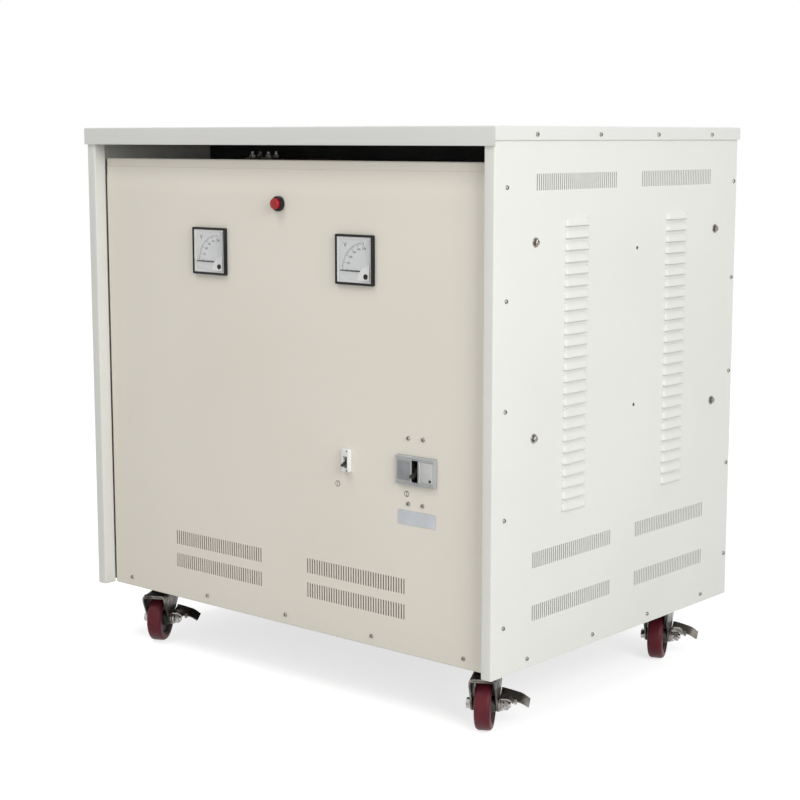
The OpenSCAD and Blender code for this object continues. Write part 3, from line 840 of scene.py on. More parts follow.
@dataclass
class Cabinet:
    """The folded sheet-steel cabinet: side, front and back panels and the lid."""

    width: float = 1104 * MM
    depth: float = 830 * MM
    floor_z: float = 130 * MM
    top_z: float = 1130 * MM
    sheet: float = 2 * MM
    flange: float = 24 * MM
    recess: float = 28 * MM
    bend: float = 3 * MM
    skin_h: float = 998 * MM
    panel_h: float = 936 * MM
    slot_w: float = 3 * MM
    slot_h: float = 30 * MM
    slot_pitch: float = 6.5 * MM
    slots: int = 40
    columns: tuple[float, float] = (252 * MM, 597 * MM)
    side_blocks: tuple[float, ...] = (102 * MM, 203 * MM, 900 * MM)
    front_columns: tuple[float, float] = (-193 * MM, 193 * MM)
    front_blocks: tuple[float, ...] = (83 * MM, 133 * MM)
    louvres: int = 25
    louvre_pitch: float = 22.3 * MM
    louvre_l: float = 78 * MM
    louvre_h: float = 17 * MM
    louvre_proud: float = 6 * MM
    louvre_z: float = 283 * MM
    windows: list[tuple[float, float, float, float]] = field(default_factory=list)

    def slot_holes(self, columns: tuple[float, ...], rows: tuple[float, ...]) -> np.ndarray:
        """Edges of the upright slots of blocks centred on each column and row.

        Args:
            columns: positions of the blocks' middles.
            rows: heights of the blocks' middles.

        Returns:
            One row of left, right, bottom and top for each slot.
        """
        x = (np.arange(self.slots) - (self.slots - 1) / 2) * self.slot_pitch
        x = (np.array(columns)[:, None, None] + x[None, None]).repeat(len(rows), 1).ravel()
        z = np.broadcast_to(np.array(rows)[None, :, None], (len(columns), len(rows), self.slots)).ravel()
        return np.stack([x - self.slot_w / 2, x + self.slot_w / 2, z - self.slot_h / 2, z + self.slot_h / 2], -1)

    def hood(self) -> Surface:
        """One louvre hood as a closed shell that stands out along Z, with its lip on y = 0.

        For u from -1 to 1 along it and w from 0 at the lip to 1 at its top, the outline's height
        is h (1 - |u|^9)^0.5 and it stands out by proud (1 - |u|^14)^0.5 cos(w pi / 2)^0.8. The
        inside is the same shape made smaller by the sheet's thickness.

        Returns:
            The shell.
        """
        u = np.sin(np.linspace(-1, 1, 25) * math.pi / 2)[:, None]
        w = np.array([1.0, 0.97, 0.85, 0.65, 0.4, 0.15, 0.0])[None]
        sides = []
        for less, order in ((0.0, 1), (self.sheet * 0.6, -1)):
            tall = (self.louvre_h - less) * np.sqrt(np.maximum(1 - np.abs(u) ** 9, 0))
            proud = (self.louvre_proud - less) * np.sqrt(np.maximum(1 - np.abs(u) ** 14, 0))
            out = proud * np.maximum(np.cos(w * math.pi / 2), 0) ** 0.8
            layer = np.stack([u * (self.louvre_l / 2 - less) + 0 * w, tall * w, out], -1)
            sides.append(layer[:, ::order])
        return grid(np.concatenate(sides, axis=1), round_v=True)

    def side_panel(self, side: int) -> None:
        """Builds a side panel, 1 for the right and -1 for the left, with its louvres.

        Args:
            side: which side.
        """
        across = Fold((self.recess, self.flange), 180,
                      ((self.recess - self.bend, 90), (self.flange - 2 * self.bend, 90),
                       (self.depth - self.bend, 0)), self.bend)
        up = Fold((0, 0), 0, ((self.skin_h, 0),))
        lips = self.louvre_z + np.arange(self.louvres) * self.louvre_pitch
        inset = 3 * MM
        y0 = np.repeat(np.array(self.columns) - self.louvre_l / 2 + inset, self.louvres)
        z0 = np.tile(lips, 2)
        gaps = np.stack([y0, y0 + self.louvre_l - 2 * inset, z0 + 0.4 * MM, z0 + self.louvre_h - inset], -1)
        holes = np.concatenate([self.slot_holes(self.columns, self.side_blocks), gaps])
        skin = Sheet(across, up, self.sheet, holes).surface()
        y, z = np.meshgrid(self.columns, lips, indexing="ij")
        places = np.stack([y.ravel(), z.ravel(), 0 * y.ravel()], -1)
        flip = np.array([1, 1, -1])
        hoods = self.hood().repeated(places)
        hoods.points = hoods.points * flip
        shape = joined(skin, hoods).placed((side * self.width / 2, -self.depth / 2, self.floor_z),
                                           x=(0, 1, 0), y=(0, 0, 1), z=(-side, 0, 0))
        word = "right" if side > 0 else "left"
        add_piece(f"side_skin_{word}", shape, PANEL_WHITE.material(), "cabinet",
                  (f"side_panel_{word}",), sharp=50)

    def front_panel(self) -> None:
        """Builds the recessed front panel with its stepped top, slots and instrument windows."""
        half, lip = self.width / 2 - self.flange - 1.5 * MM, 14 * MM
        across = tray_fold(half, lip, 6 * MM)
        up = tray_fold(self.panel_h / 2, 14 * MM, 3 * MM, self.panel_h / 2)
        relief = ((0, 0), (0.8993, 0), (0.9007, 1.2 * MM), (0.9165, 1.2 * MM), (0.9178, 0.6 * MM),
                  (0.9192, 2.6 * MM), (0.932, 1.2 * MM), (0.936, 1.2 * MM))
        holes = np.concatenate([self.slot_holes(self.front_columns, self.front_blocks), np.array(self.windows)])
        shape = Sheet(across, up, 1.5 * MM, holes, relief).surface().placed(
            (0, self.recess - self.depth / 2, self.floor_z), y=(0, 0, 1), z=(0, 1, 0))
        add_piece("front_skin", shape, FRONT_CREAM.material(), "cabinet", ("front_panel",), 50)

    def back_panel(self) -> None:
        """Builds the plain back panel with slot blocks like those of the other sides."""
        across = tray_fold(self.width / 2 - self.sheet - 0.5 * MM, 15 * MM, 3 * MM)
        up = tray_fold(self.skin_h / 2, 15 * MM, 3 * MM, self.skin_h / 2)
        holes = np.concatenate([self.slot_holes(self.front_columns, self.front_blocks),
                                self.slot_holes(self.front_columns, self.side_blocks[2:])])
        shape = Sheet(across, up, self.sheet, holes).surface().placed(
            (0, self.depth / 2, self.floor_z), y=(0, 0, 1), z=(0, -1, 0))
        add_piece("back_skin", shape, PANEL_WHITE.material(), "cabinet", ("back_panel",), 50)

    def lid(self) -> None:
        """Builds the lid: a tray with a deep fascia in front that ends in a thin hem."""
        low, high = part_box("lid")
        w, d = (high - low)[0], (high - low)[1]
        skirt, fascia, r = 25 * MM, 35 * MM, 2.5 * MM
        across = tray_fold(w / 2, skirt, r)
        up = Fold((-d / 2, fascia), -90, ((fascia - r, 90), (d - 2 * r, 90), (skirt - r, 0)), r)
        tray = Sheet(across, up, self.sheet, np.zeros((0, 4))).surface().placed(
            (0, 0, high[2]), z=(0, 0, -1))
        hem = plate(rounded_path([(0.1 * MM, 5 * MM), (0, 0.5 * MM), (4 * MM, 0.5 * MM)], 1 * MM), w - 2 * MM,
                    1 * MM).placed((0, -d / 2 + 0.4 * MM, high[2] - fascia))
        add_piece("lid_skin", joined(tray, hem), LID_WHITE.material(), "cabinet", ("lid",), 50)

    def shade_sheets(self) -> None:
        """Adds two black inner sheets as painted shade: one behind the air slot and one behind the front's slots, so
        that the inside looks dark through them.
        """
        upper = plate(rounded_path([(-40 * MM, 1126 * MM), (-60 * MM, 1126 * MM), (-60 * MM, 1050 * MM),
                                    (-40 * MM, 1046 * MM)], 4 * MM), self.width - 12 * MM, 1 * MM)
        face = self.recess - self.depth / 2 + 12 * MM
        lower = plate(rounded_path([(face + 16 * MM, 306 * MM), (face, 300 * MM), (face, 182 * MM),
                                    (face + 16 * MM, 176 * MM)], 4 * MM), 860 * MM, 1 * MM)
        # black sheets that paint the shade inside the cabinet behind the slots
        add_piece("painted_shade_sheets", joined(upper, lower), CLAMP_BLACK.material(), "cabinet")

    def screws(self) -> None:
        """Adds the screws and bolts of the panels, with the same rows on the two sides."""
        z = self.floor_z
        rows = [(36, h) for h in (92, 293, 492, 691, 892)] + [(819, h) for h in (90, 290, 489, 688, 889)]
        rows += [(y, 18) for y in (110, 324, 520, 727)]
        bolts = [(122, 792), (747, 793), (123, 433), (750, 433)]
        for side, word in ((1, "right"), (-1, "left")):
            x = side * self.width / 2

            def spots(points: list[tuple[float, float]], out: float = 0.0) -> np.ndarray:
                """Places on this side from distances behind the front edge and heights, in mm."""
                p = np.array(points, float) * MM
                return np.stack([np.full(len(p), x + side * out), p[:, 0] - self.depth / 2, p[:, 1] + z], -1)

            fasteners(f"side_screws_{word}", Head.PAN, spots(rows), (side, 0, 0))
            fasteners(f"side_bolts_{word}", Head.WASHER_BOLT, spots(bolts), (side, 0, 0))
            skirt = spots([(y, 985) for y in (119, 319, 519, 720)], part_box("lid")[1][0] - self.width / 2)
            fasteners(f"lid_screws_{word}", Head.PAN, skirt, (side, 0, 0))
            ring = lathe([(2.2 * MM, 0.0), (3.4 * MM, 0.0), (3.2 * MM, 0.4 * MM), (2.2 * MM, 0.3 * MM)], 20)
            plug = lathe([(0, 0.1 * MM), (2.2 * MM, 0.1 * MM), (2.2 * MM, 0.0), (0, 0.0)], 20, False)
            holes = joined(ring, plug).placed(x=(0, 1, 0), y=(0, 0, 1), z=(side, 0, 0))
            add_piece(f"side_rivets_{word}", holes.repeated(spots([(456, 767), (454, 458)])),
                      CLAMP_BLACK.material(), "cabinet")
        face = self.recess - self.depth / 2
        low = np.array([(x * MM, face, z + 20 * MM) for x in (-470, -228, 3, 237, 466)])
        fasteners("front_screws", Head.PAN, low, (0, -1, 0))
        back = [(x * MM, self.depth / 2, z + h * MM) for x in (-500, 500) for h in (60, 280, 500, 720, 940)]
        back += [(x * MM, self.depth / 2, z + 20 * MM) for x in (-250, 0, 250)]
        fasteners("back_screws", Head.PAN, np.array(back), (0, 1, 0))
        rear = np.array([(x * MM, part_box("lid")[1][1], z + 985 * MM) for x in (-400, -133, 133, 400)])
        fasteners("lid_screws_back", Head.PAN, rear, (0, 1, 0))

    def build(self) -> None:
        """Builds every panel and its fasteners."""
        for side in (1, -1):
            self.side_panel(side)
        self.front_panel()
        self.back_panel()
        self.lid()
        # black inner sheets of painted shade behind the slots
        self.shade_sheets()
        self.screws()


# ---------------------------------------------------------------- instruments


def text_surface(words: str, height: float, thickness: float) -> Surface:
    """Plain figures as a thin solid in the XY plane, centred on the origin.

    Args:
        words: the figures.
        height: height of the figures.
        thickness: how far they stand out along Z.

    Returns:
        Their surface.
    """
    curve = bpy.data.curves.new("figures", "FONT")
    curve.body, curve.size, curve.extrude = words, height * 1.4, thickness / 2
    curve.align_x, curve.align_y, curve.resolution_u = "CENTER", "CENTER", 3
    obj = bpy.data.objects.new("figures", curve)
    bpy.context.scene.collection.objects.link(obj)
    bpy.context.view_layer.update()
    mesh = bpy.data.meshes.new_from_object(obj.evaluated_get(bpy.context.evaluated_depsgraph_get()))
    points = np.zeros(len(mesh.vertices) * 3)
    mesh.vertices.foreach_get("co", points)
    sizes = np.array([p.loop_total for p in mesh.polygons])
    loops = [np.array(p.vertices) for p in mesh.polygons]
    faces = [np.array([f for f in loops if len(f) == n]) for n in np.unique(sizes)]
    bpy.data.objects.remove(obj)
    bpy.data.meshes.remove(mesh)
    return Surface(points.reshape(-1, 3) + (0, 0, thickness / 2), faces)


@dataclass
class Meter:
    """A square panel meter with a quarter-arc scale."""

    word: str
    face_y: float
    size: float = 96 * MM
    proud: float = 8 * MM
    rim: float = 5 * MM
    pivot_inset: float = 22 * MM

    def build(self) -> None:
        """Builds the bezel, inner rim, dial, print, glass, zero screw and needle."""
        low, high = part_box(f"meter_pointer_{self.word}")
        inside = self.size - 2 * self.rim
        pivot_x = high[0] - 4 * MM
        pivot_z = (low[2] + high[2]) / 2
        cx, cz = pivot_x - inside / 2 + self.pivot_inset, pivot_z + inside / 2 - self.pivot_inset
        base = {"origin": (cx, self.face_y, cz), "y": (0, 0, 1), "z": (0, -1, 0)}
        first = self.word == "left"
        bezel = slab(self.size, self.size, [(0, 0), (0, 6.6 * MM), (0.4 * MM, 7.5 * MM), (1.2 * MM, 8 * MM),
                                            (3.2 * MM, 8 * MM), (4 * MM, 7.4 * MM), (4.6 * MM, 5 * MM),
                                            (4.6 * MM, 0)], 2 * MM, hollow=True)
        case = slab(inside - 1 * MM, inside - 1 * MM, soft_levels(-40 * MM, 0, 1.5 * MM), 2 * MM)
        add_piece(f"meter_bezel_{self.word}", joined(bezel, case).placed(**base), METER_BLACK.material(),
                  "cabinet", ("meter_cases",) if first else ())
        rim = slab(inside + 0.4 * MM, inside + 0.4 * MM,
                   [(0, 0.5 * MM), (0, 6.4 * MM), (1.0 * MM, 6.6 * MM), (3.6 * MM, 5.2 * MM),
                    (5.0 * MM, 2.4 * MM), (5.0 * MM, 0.5 * MM)], 2 * MM, hollow=True)
        add_piece(f"meter_rim_{self.word}", rim.placed(**base), METER_RIM.material(), "cabinet")
        dial = slab(inside - 8 * MM, inside - 8 * MM, [(0, 0.4 * MM), (0, 1.8 * MM), (0.2 * MM, 2 * MM)], 2 * MM)
        pin = lathe([(0, 1.5 * MM), (1 * MM, 1.5 * MM), (1 * MM, 5 * MM), (0.6 * MM, 5.4 * MM),
                     (0, 5.4 * MM)], 20, False).placed((pivot_x - cx, pivot_z - cz, 0))
        add_piece(f"meter_dial_{self.word}", joined(dial, pin).placed(**base), DIAL_WHITE.material(),
                  "cabinet", ("meter_dials",) if first else ())
        self.scale(pivot_x - cx, pivot_z - cz, base)
        pane = slab(inside - 2 * MM, inside - 2 * MM, soft_levels(6.7 * MM, 7.4 * MM, 0.2 * MM), 2 * MM)
        add_piece(f"meter_glass_{self.word}", pane.placed(**base), GLASS.material(), "cabinet")
        at = self.size * 0.32
        screw = lathe([(0, 6 * MM), (5 * MM, 6 * MM), (5 * MM, 8.2 * MM), (4.3 * MM, 9 * MM),
                       (0, 9.2 * MM)], 32, False).placed((at, -at, 0))
        self.cover(inside / 2, base)
        add_piece(f"meter_zero_screw_{self.word}", screw.placed(**base), METER_BLACK.material(),
                  "cabinet")
        self.needle(pivot_x, pivot_z)

    def scale(self, px: float, pz: float, base: dict) -> None:
        """Prints the arc, its ticks and its numbers on the dial.

        Tick k stands at the angle k 90 / 25 degrees from the needle's rest, between two radii.

        Args:
            px: the needle's pivot across the dial.
            pz: the needle's pivot up the dial.
            base: the axes of the dial.
        """
        k = np.arange(26)
        a = math.pi - k * math.pi / 50
        long = k % 5 == 0
        half = np.where(long, 0.35, 0.2) * MM
        r0, r1 = np.where(long, 46.5, 49.5) * MM, np.full(26, 53.0) * MM
        radial = np.stack([np.cos(a), np.sin(a)], -1)
        side = np.stack([-np.sin(a), np.cos(a)], -1)
        corners = [radial * r0[:, None] - side * half[:, None], radial * r1[:, None] - side * half[:, None],
                   radial * r1[:, None] + side * half[:, None], radial * r0[:, None] + side * half[:, None]]
        flat = np.stack(corners, 1)
        low = np.concatenate([flat, np.full((26, 4, 1), 2.0 * MM)], -1)
        high = low + (0, 0, 0.12 * MM)
        ticks = [grid(np.stack([a0, b0]), round_v=True, ends=True) for a0, b0 in zip(low, high)]
        t = np.linspace(math.pi, math.pi / 2, 40)
        arc = [np.column_stack([r * np.cos(t), r * np.sin(t), np.full(40, z)])
               for r, z in ((52.8 * MM, 2 * MM), (53.3 * MM, 2 * MM), (53.3 * MM, 2.12 * MM), (52.8 * MM, 2.12 * MM))]
        parts = ticks + [grid(np.stack(arc, 1), round_v=True, ends=True)]
        for step, number in enumerate(("0", "100", "200", "300", "400", "500")):
            t = math.pi - step * math.pi / 10
            x, z = 41 * MM * math.cos(t), 41 * MM * math.sin(t)
            parts.append(text_surface(number, 4.2 * MM, 0.12 * MM).placed((x + 1 * MM * (step > 0), z + 1.5 * MM, 2 * MM)))
        parts.append(text_surface("V", 9 * MM, 0.12 * MM).placed((-46 * MM, 48 * MM, 2 * MM)))
        shape = joined(*parts).placed((px, pz, 0)).placed(**base)
        add_piece(f"meter_scale_{self.word}", shape, PRINT_BLACK.material(), "cabinet")

    def cover(self, corner: float, base: dict) -> None:
        """Builds the white quarter-round cover over the pivot, in the lower right corner.

        Its outline is a quarter circle about a point 4 mm in from the corner, of 0.86 of its radius, and its edge is
        stepped over two levels.

        Args:
            corner: distance of the corner from the dial's middle, both ways.
            base: the axes of the dial.
        """
        a = np.linspace(math.pi / 2, math.pi, 24)
        rings = []
        for inset, z in ((0, 5.8 * MM), (0, 6.2 * MM), (0.4 * MM, 6.5 * MM)):
            r = 34 * MM - inset
            arc = np.column_stack([corner - 4 * MM + r * np.cos(a) * 0.86, 4 * MM - corner + r * np.sin(a) * 0.86])
            foot = np.array([[corner - 4 * MM, 4 * MM - corner]])
            outline = np.concatenate([foot, arc])
            rings.append(np.column_stack([outline, np.full(len(outline), z)]))
        shape = grid(np.array(rings), round_v=True, ends=True).placed(**base)
        add_piece(f"meter_cover_{self.word}", shape, METER_RIM.material(), "cabinet")

    def needle(self, pivot_x: float, pivot_z: float) -> None:
        """Builds the needle: a hub and a blade that narrows towards its tip.

        Args:
            pivot_x: X of its pivot.
            pivot_z: Z of its pivot.
        """
        low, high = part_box(f"meter_pointer_{self.word}")
        y = (low[1] + high[1]) / 2
        length = pivot_x - low[0]
        t = np.linspace(0, 1, 12)
        x = -1.3 * MM - (length - 1.3 * MM) * t
        half = (1.5 - 0.5 * t**2) * MM
        thick = 0.3 * MM
        rings = np.stack([np.stack([x, s * half, np.full(12, z)], -1)
                          for s, z in ((-1, -thick), (1, -thick), (1, thick), (-1, thick))], 1)
        blade = grid(rings, round_v=True, ends=True)
        hub = lathe([(1.1 * MM, -0.4 * MM), (4 * MM, -0.4 * MM), (4 * MM, 0.3 * MM), (3 * MM, 0.9 * MM),
                     (1.1 * MM, 0.9 * MM)], 28)
        shape = joined(blade, hub).placed((pivot_x, y, pivot_z), y=(0, 0, 1), z=(0, -1, 0))
        add_piece(f"needle_{self.word}", shape, POINTER_BLACK.material(), f"pointer_{self.word}",
                  (f"meter_pointer_{self.word}",))


@dataclass
class PilotLamp:
    """A red pilot lamp in a black bezel."""

    face_y: float

    def build(self) -> None:
        """Builds the bezel with its grip ribs and the domed lens with its ribbed inside."""
        low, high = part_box("lamp_bezel")
        cx, cz, r = (low[0] + high[0]) / 2, (low[2] + high[2]) / 2, (high[0] - low[0]) / 2
        axes = {"origin": (cx, self.face_y, cz), "y": (0, 0, 1), "z": (0, -1, 0)}
        a = np.arange(96) * 2 * math.pi / 96
        profile = np.array([(1.0, 0), (1.0, 5.5), (0.97, 8), (0.9, 9), (0.76, 9), (0.74, 8.4), (0.74, 0)])
        rib = 1 - 0.02 * (np.cos(a * 24) > 0)
        rr = profile[None, :, 0] * r * np.where(profile[None, :, 0] > 0.95, rib[:, None], 1)
        ring = np.stack([np.cos(a)[:, None] * rr, np.sin(a)[:, None] * rr,
                         profile[None, :, 1] * MM + 0 * rr], -1)
        add_piece("lamp_ring", grid(ring, round_u=True, round_v=True).placed(**axes), METER_BLACK.material(),
                  "cabinet", ("lamp_bezel",), 30)
        lens_r = 11 * MM
        q = np.concatenate([[0], np.linspace(0.2, 0.86, 6), [0.93, 0.98, 1.0, 1.0, 1.0]])
        z = np.concatenate([17.6 - 1.2 * np.linspace(0, 1, 7) ** 2, [15.8, 14.6, 12.5, 8.5, 0]]) * MM
        wave = 1 - 0.012 * (np.cos(a * 32) > 0)[:, None] * (q > 0.9)[None]
        notch = 1 - 0.06 * (np.abs(np.cos(a)) < 0.09)[:, None] * (q > 0.9)[None]
        rr = q[None] * lens_r * wave * notch
        lens = np.stack([np.cos(a)[:, None] * rr, np.sin(a)[:, None] * rr, z[None] + 0 * rr], -1)
        rear = lathe([(0, -40 * MM), (10.5 * MM, -40 * MM), (10.5 * MM, -0.5 * MM), (0, -0.5 * MM)], 32, False)
        lens_shape = grid(lens, round_u=True)
        floor = lathe([(0, 0.0), (lens_r * 0.93, 0.0)], 96, False)
        add_piece("lamp_dome", joined(lens_shape, floor, rear).placed(**axes), LENS_RED.material(),
                  "cabinet", ("lamp_lens",), 40)


@dataclass
class Breakers:
    """The small starter breaker and the wide main breaker, with their handles and the label plate."""

    face_y: float

    def axes(self, node: str) -> tuple[dict, float, float, float]:
        """Axes at the middle of a breaker's face, with its width, height and how far it stands out.

        Args:
            node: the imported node.

        Returns:
            The axes, width, height and how far it stands out.
        """
        low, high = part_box(node)
        centre = ((low[0] + high[0]) / 2, self.face_y, (low[2] + high[2]) / 2)
        base = {"origin": centre, "y": (0, 0, 1), "z": (0, -1, 0)}
        return base, high[0] - low[0], high[2] - low[2], self.face_y - low[1]

    def lever(self, node: str, width: float, material: bpy.types.Material, flare: float) -> None:
        """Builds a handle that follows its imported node: a round hub and a blade that flares.

        The blade runs down at 25 degrees, as the node does, and its half width grows from 0.8 of
        the hub's to flare times it at the tip.

        Args:
            node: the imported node.
            width: width of the node along X.
            material: its finish.
            flare: width at the tip as a share of the node's.
        """
        low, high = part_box(node)
        pin = {"starter_toggle": 12 * MM - 10 * MM, "main_handle": 12 * MM - 8 * MM}[node]
        hub = {"starter_toggle": 4.5 * MM, "main_handle": 7 * MM}[node]
        reach = {"starter_toggle": 23.6 * MM, "main_handle": 25.6 * MM}[node]
        cx = (low[0] + high[0]) / 2
        cz = 491 * MM
        t = np.linspace(0, 1, 10)
        a = np.arange(16) * 2 * math.pi / 16
        grow = 0.8 + (flare - 0.8) * t**1.5
        end = np.sqrt(np.maximum(1 - np.maximum(t - 0.85, 0) ** 2 / 0.0235, 0.02))
        wide = width / 2 * grow * end
        thick = hub * (0.48 - 0.12 * t) * end
        ring = np.stack([np.sign(np.cos(a))[None] * np.abs(np.cos(a))[None] ** 0.5 * wide[:, None],
                         np.sign(np.sin(a))[None] * np.abs(np.sin(a))[None] ** 0.5 * thick[:, None],
                         np.broadcast_to((reach * t)[:, None], (10, 16))], -1)
        blade = grid(ring, round_v=True, ends=True)
        drum = lathe([(1.6 * MM, -width / 2), (hub - 0.4 * MM, -width / 2), (hub, -width / 2 + 0.4 * MM),
                      (hub, width / 2 - 0.4 * MM), (hub - 0.4 * MM, width / 2), (1.6 * MM, width / 2)], 36)
        drum = drum.placed(x=(0, 1, 0), y=(0, 0, 1), z=(1, 0, 0))
        tilt = math.radians(25)
        out = (0, -math.cos(tilt), -math.sin(tilt))
        up = (0, -math.sin(tilt), math.cos(tilt))
        shape = joined(blade, drum).placed((cx, self.face_y + pin, cz), x=(1, 0, 0), y=up, z=out)
        add_piece(f"{node}_lever", shape, material, node, (node,), 40)

    def starter(self) -> None:
        """Builds the starter breaker: a white case and two small screws."""
        base, w, h, proud = self.axes("starter_breaker")
        slot_w, slot_h = 11 * MM, 34 * MM
        rim = slab(w, h, [(0, -50 * MM), (0, proud - 1.2 * MM), (0.4 * MM, proud - 0.3 * MM), (1.2 * MM, proud),
                          (3.2 * MM, proud), (3.45 * MM, proud - 1 * MM), (3.5 * MM, -22 * MM),
                          (3.5 * MM, -50 * MM)], 1.5 * MM, hollow=True)
        nose = slab(slot_w, 8 * MM, soft_levels(-22 * MM, proud - 0.2 * MM, 0.8 * MM, False), 1 * MM)
        block = slab(w - 5 * MM, 14 * MM, soft_levels(-22 * MM, proud - 0.1 * MM, 0.6 * MM, False), 1 * MM)
        parts = [rim, block.placed((0, 15 * MM, 0)), nose.placed((0, -18.5 * MM, 0))]
        add_piece("starter_case", joined(*parts).placed(**base), BREAKER_WHITE.material(), "cabinet",
                  ("starter_breaker",))
        spots = np.array([(x, z, proud - 0.3 * MM) for x, z in ((5.5 * MM, 19 * MM), (5.5 * MM, -19.5 * MM))])
        dots = pan_head(4 * MM, 1.2 * MM).repeated(spots).placed(**base)
        add_piece("starter_screws", dots, SCREW_ZINC.material(), "cabinet")
        self.lever("starter_toggle", 9 * MM, HANDLE_BLACK.material(), 1.1)

    def main(self) -> None:
        """Builds the main breaker: grey case, ribs, recessed fields, ridge, button and handle."""
        base, w, h, proud = self.axes("main_breaker")
        slot_w, slot_h = 14 * MM, 44 * MM
        side_w = (w - slot_w) / 2
        x_side = (w + slot_w) / 4
        cheek = slab(side_w, h, soft_levels(-50 * MM, proud, 1 * MM, False), 0.6 * MM)
        bridge = slab(slot_w + 1 * MM, (h - slot_h) / 2, soft_levels(-50 * MM, proud - 0.4 * MM, 0.5 * MM, False),
                      0.3 * MM)
        parts = [cheek.placed((s * x_side, 0, 0)) for s in (-1, 1)]
        parts += [bridge.placed((0, s * (h + slot_h) / 4, 0)) for s in (-1, 1)]
        line = slab(w - 4 * MM, 1.1 * MM, soft_levels(proud - 0.5 * MM, proud + 0.6 * MM, 0.3 * MM, False), 0.3 * MM)
        parts += [line.placed((0, s * z, 0)) for s in (-1, 1) for z in (21.5 * MM, 24.6 * MM)]
        tooth = slab(1.6 * MM, 2.4 * MM, soft_levels(proud - 0.5 * MM, proud + 0.7 * MM, 0.3 * MM, False), 0.3 * MM)
        x = (np.arange(14) - 6.5) * 6.4 * MM
        row = np.array([(v, s * 23 * MM, 0) for v in x for s in (-1, 1)])
        parts.append(tooth.repeated(row))
        add_piece("main_case", joined(*parts).placed(**base), BREAKER_GREY.material(), "cabinet",
                  ("main_breaker",))
        label = slab(32 * MM, 37 * MM, soft_levels(proud - 0.4 * MM, proud + 0.35 * MM, 0.2 * MM, False), 1 * MM)
        add_piece("main_label_field", label.placed((-26.5 * MM, 0, 0)).placed(**base),
                  BREAKER_DARK.material(), "cabinet")
        pale = slab(27 * MM, 37 * MM, soft_levels(proud - 0.4 * MM, proud + 0.7 * MM, 0.4 * MM, False), 1.5 * MM)
        frame_line = slab(14 * MM, 17 * MM, [(0, proud), (0, proud + 0.95 * MM), (0.7 * MM, proud + 0.95 * MM),
                                             (0.7 * MM, proud)], 0.8 * MM, hollow=True)
        y = np.linspace(-19 * MM, 19 * MM, 14)
        ridge_x = 11.5 * MM + 2.2 * MM * np.cos(y / (19 * MM) * math.pi / 2)
        a = np.linspace(0, math.pi, 7)
        ridge = np.stack([ridge_x[:, None] + 1.5 * MM * np.cos(a)[None],
                          np.broadcast_to(y[:, None], (14, 7)),
                          proud - 0.2 * MM + 1.9 * MM * np.sin(a)[None] + 0 * y[:, None]], -1)
        parts = [pale.placed((30 * MM, 0, 0)), frame_line.placed((29 * MM, 5 * MM, 0)),
                 grid(ridge, ends=True, round_v=True)]
        add_piece("main_pale_field", joined(*parts).placed(**base), BREAKER_PALE.material(), "cabinet")
        button = lathe([(0, proud), (2.6 * MM, proud), (2.6 * MM, proud + 1.6 * MM), (2.1 * MM, proud + 2 * MM),
                        (0, proud + 2 * MM)], 28, False)
        well = slab(slot_w - 0.4 * MM, slot_h - 0.4 * MM,
                    [(0, -24 * MM), (0, proud + 0.3 * MM), (0.2 * MM, proud + 0.3 * MM), (0.3 * MM, proud - 1 * MM),
                     (0.3 * MM, -22 * MM), (0.3 * MM, -24 * MM)], 1.5 * MM, hollow=True)
        floor = slab(slot_w - 1 * MM, slot_h - 1 * MM, soft_levels(-30 * MM, -24 * MM, 0.5 * MM), 1 * MM)
        add_piece("main_trim", joined(button.placed((38 * MM, -14 * MM, 0)), well, floor).placed(**base),
                  HANDLE_BLACK.material(), "cabinet")
        self.lever("main_handle", 12 * MM, HANDLE_BLACK.material(), 1.0)

    def marks(self) -> None:
        """Adds the screws round the main breaker, the blank plate and the two circled figures."""
        z0 = 130 * MM
        spots = np.array([(x * MM, self.face_y, z0 + z * MM)
                          for x, z in ((331, 421), (367, 422), (331, 295.5), (366, 296))])
        fasteners("breaker_screws", Head.PAN, spots, (0, -1, 0))
        low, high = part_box("label_plate")
        plate_shape = slab(high[0] - low[0], high[2] - low[2], soft_levels(0, 0.8 * MM, 0.25 * MM, False), 1.2 * MM)
        centre = ((low[0] + high[0]) / 2, self.face_y, (low[2] + high[2]) / 2)
        add_piece("blank_plate", plate_shape.placed(centre, y=(0, 0, 1), z=(0, -1, 0)), LABEL_GREY.material(),
                  "cabinet", ("label_plate",))
        marks = []
        for figure, x, z in (("1", 150, 311), ("2", 327, 314)):
            ring = lathe([(4.8 * MM, 0), (6 * MM, 0), (6 * MM, 0.1 * MM), (4.8 * MM, 0.1 * MM)], 40)
            both = joined(ring, text_surface(figure, 7.6 * MM, 0.1 * MM))
            marks.append(both.placed((x * MM, self.face_y, z0 + z * MM), y=(0, 0, 1), z=(0, -1, 0)))
        add_piece("figure_marks", joined(*marks), PRINT_BLACK.material(), "cabinet")

    def build(self) -> None:
        """Builds both breakers and what belongs to them."""
        self.starter()
        self.main()
        self.marks()


# ---------------------------------------------------------------- transformer


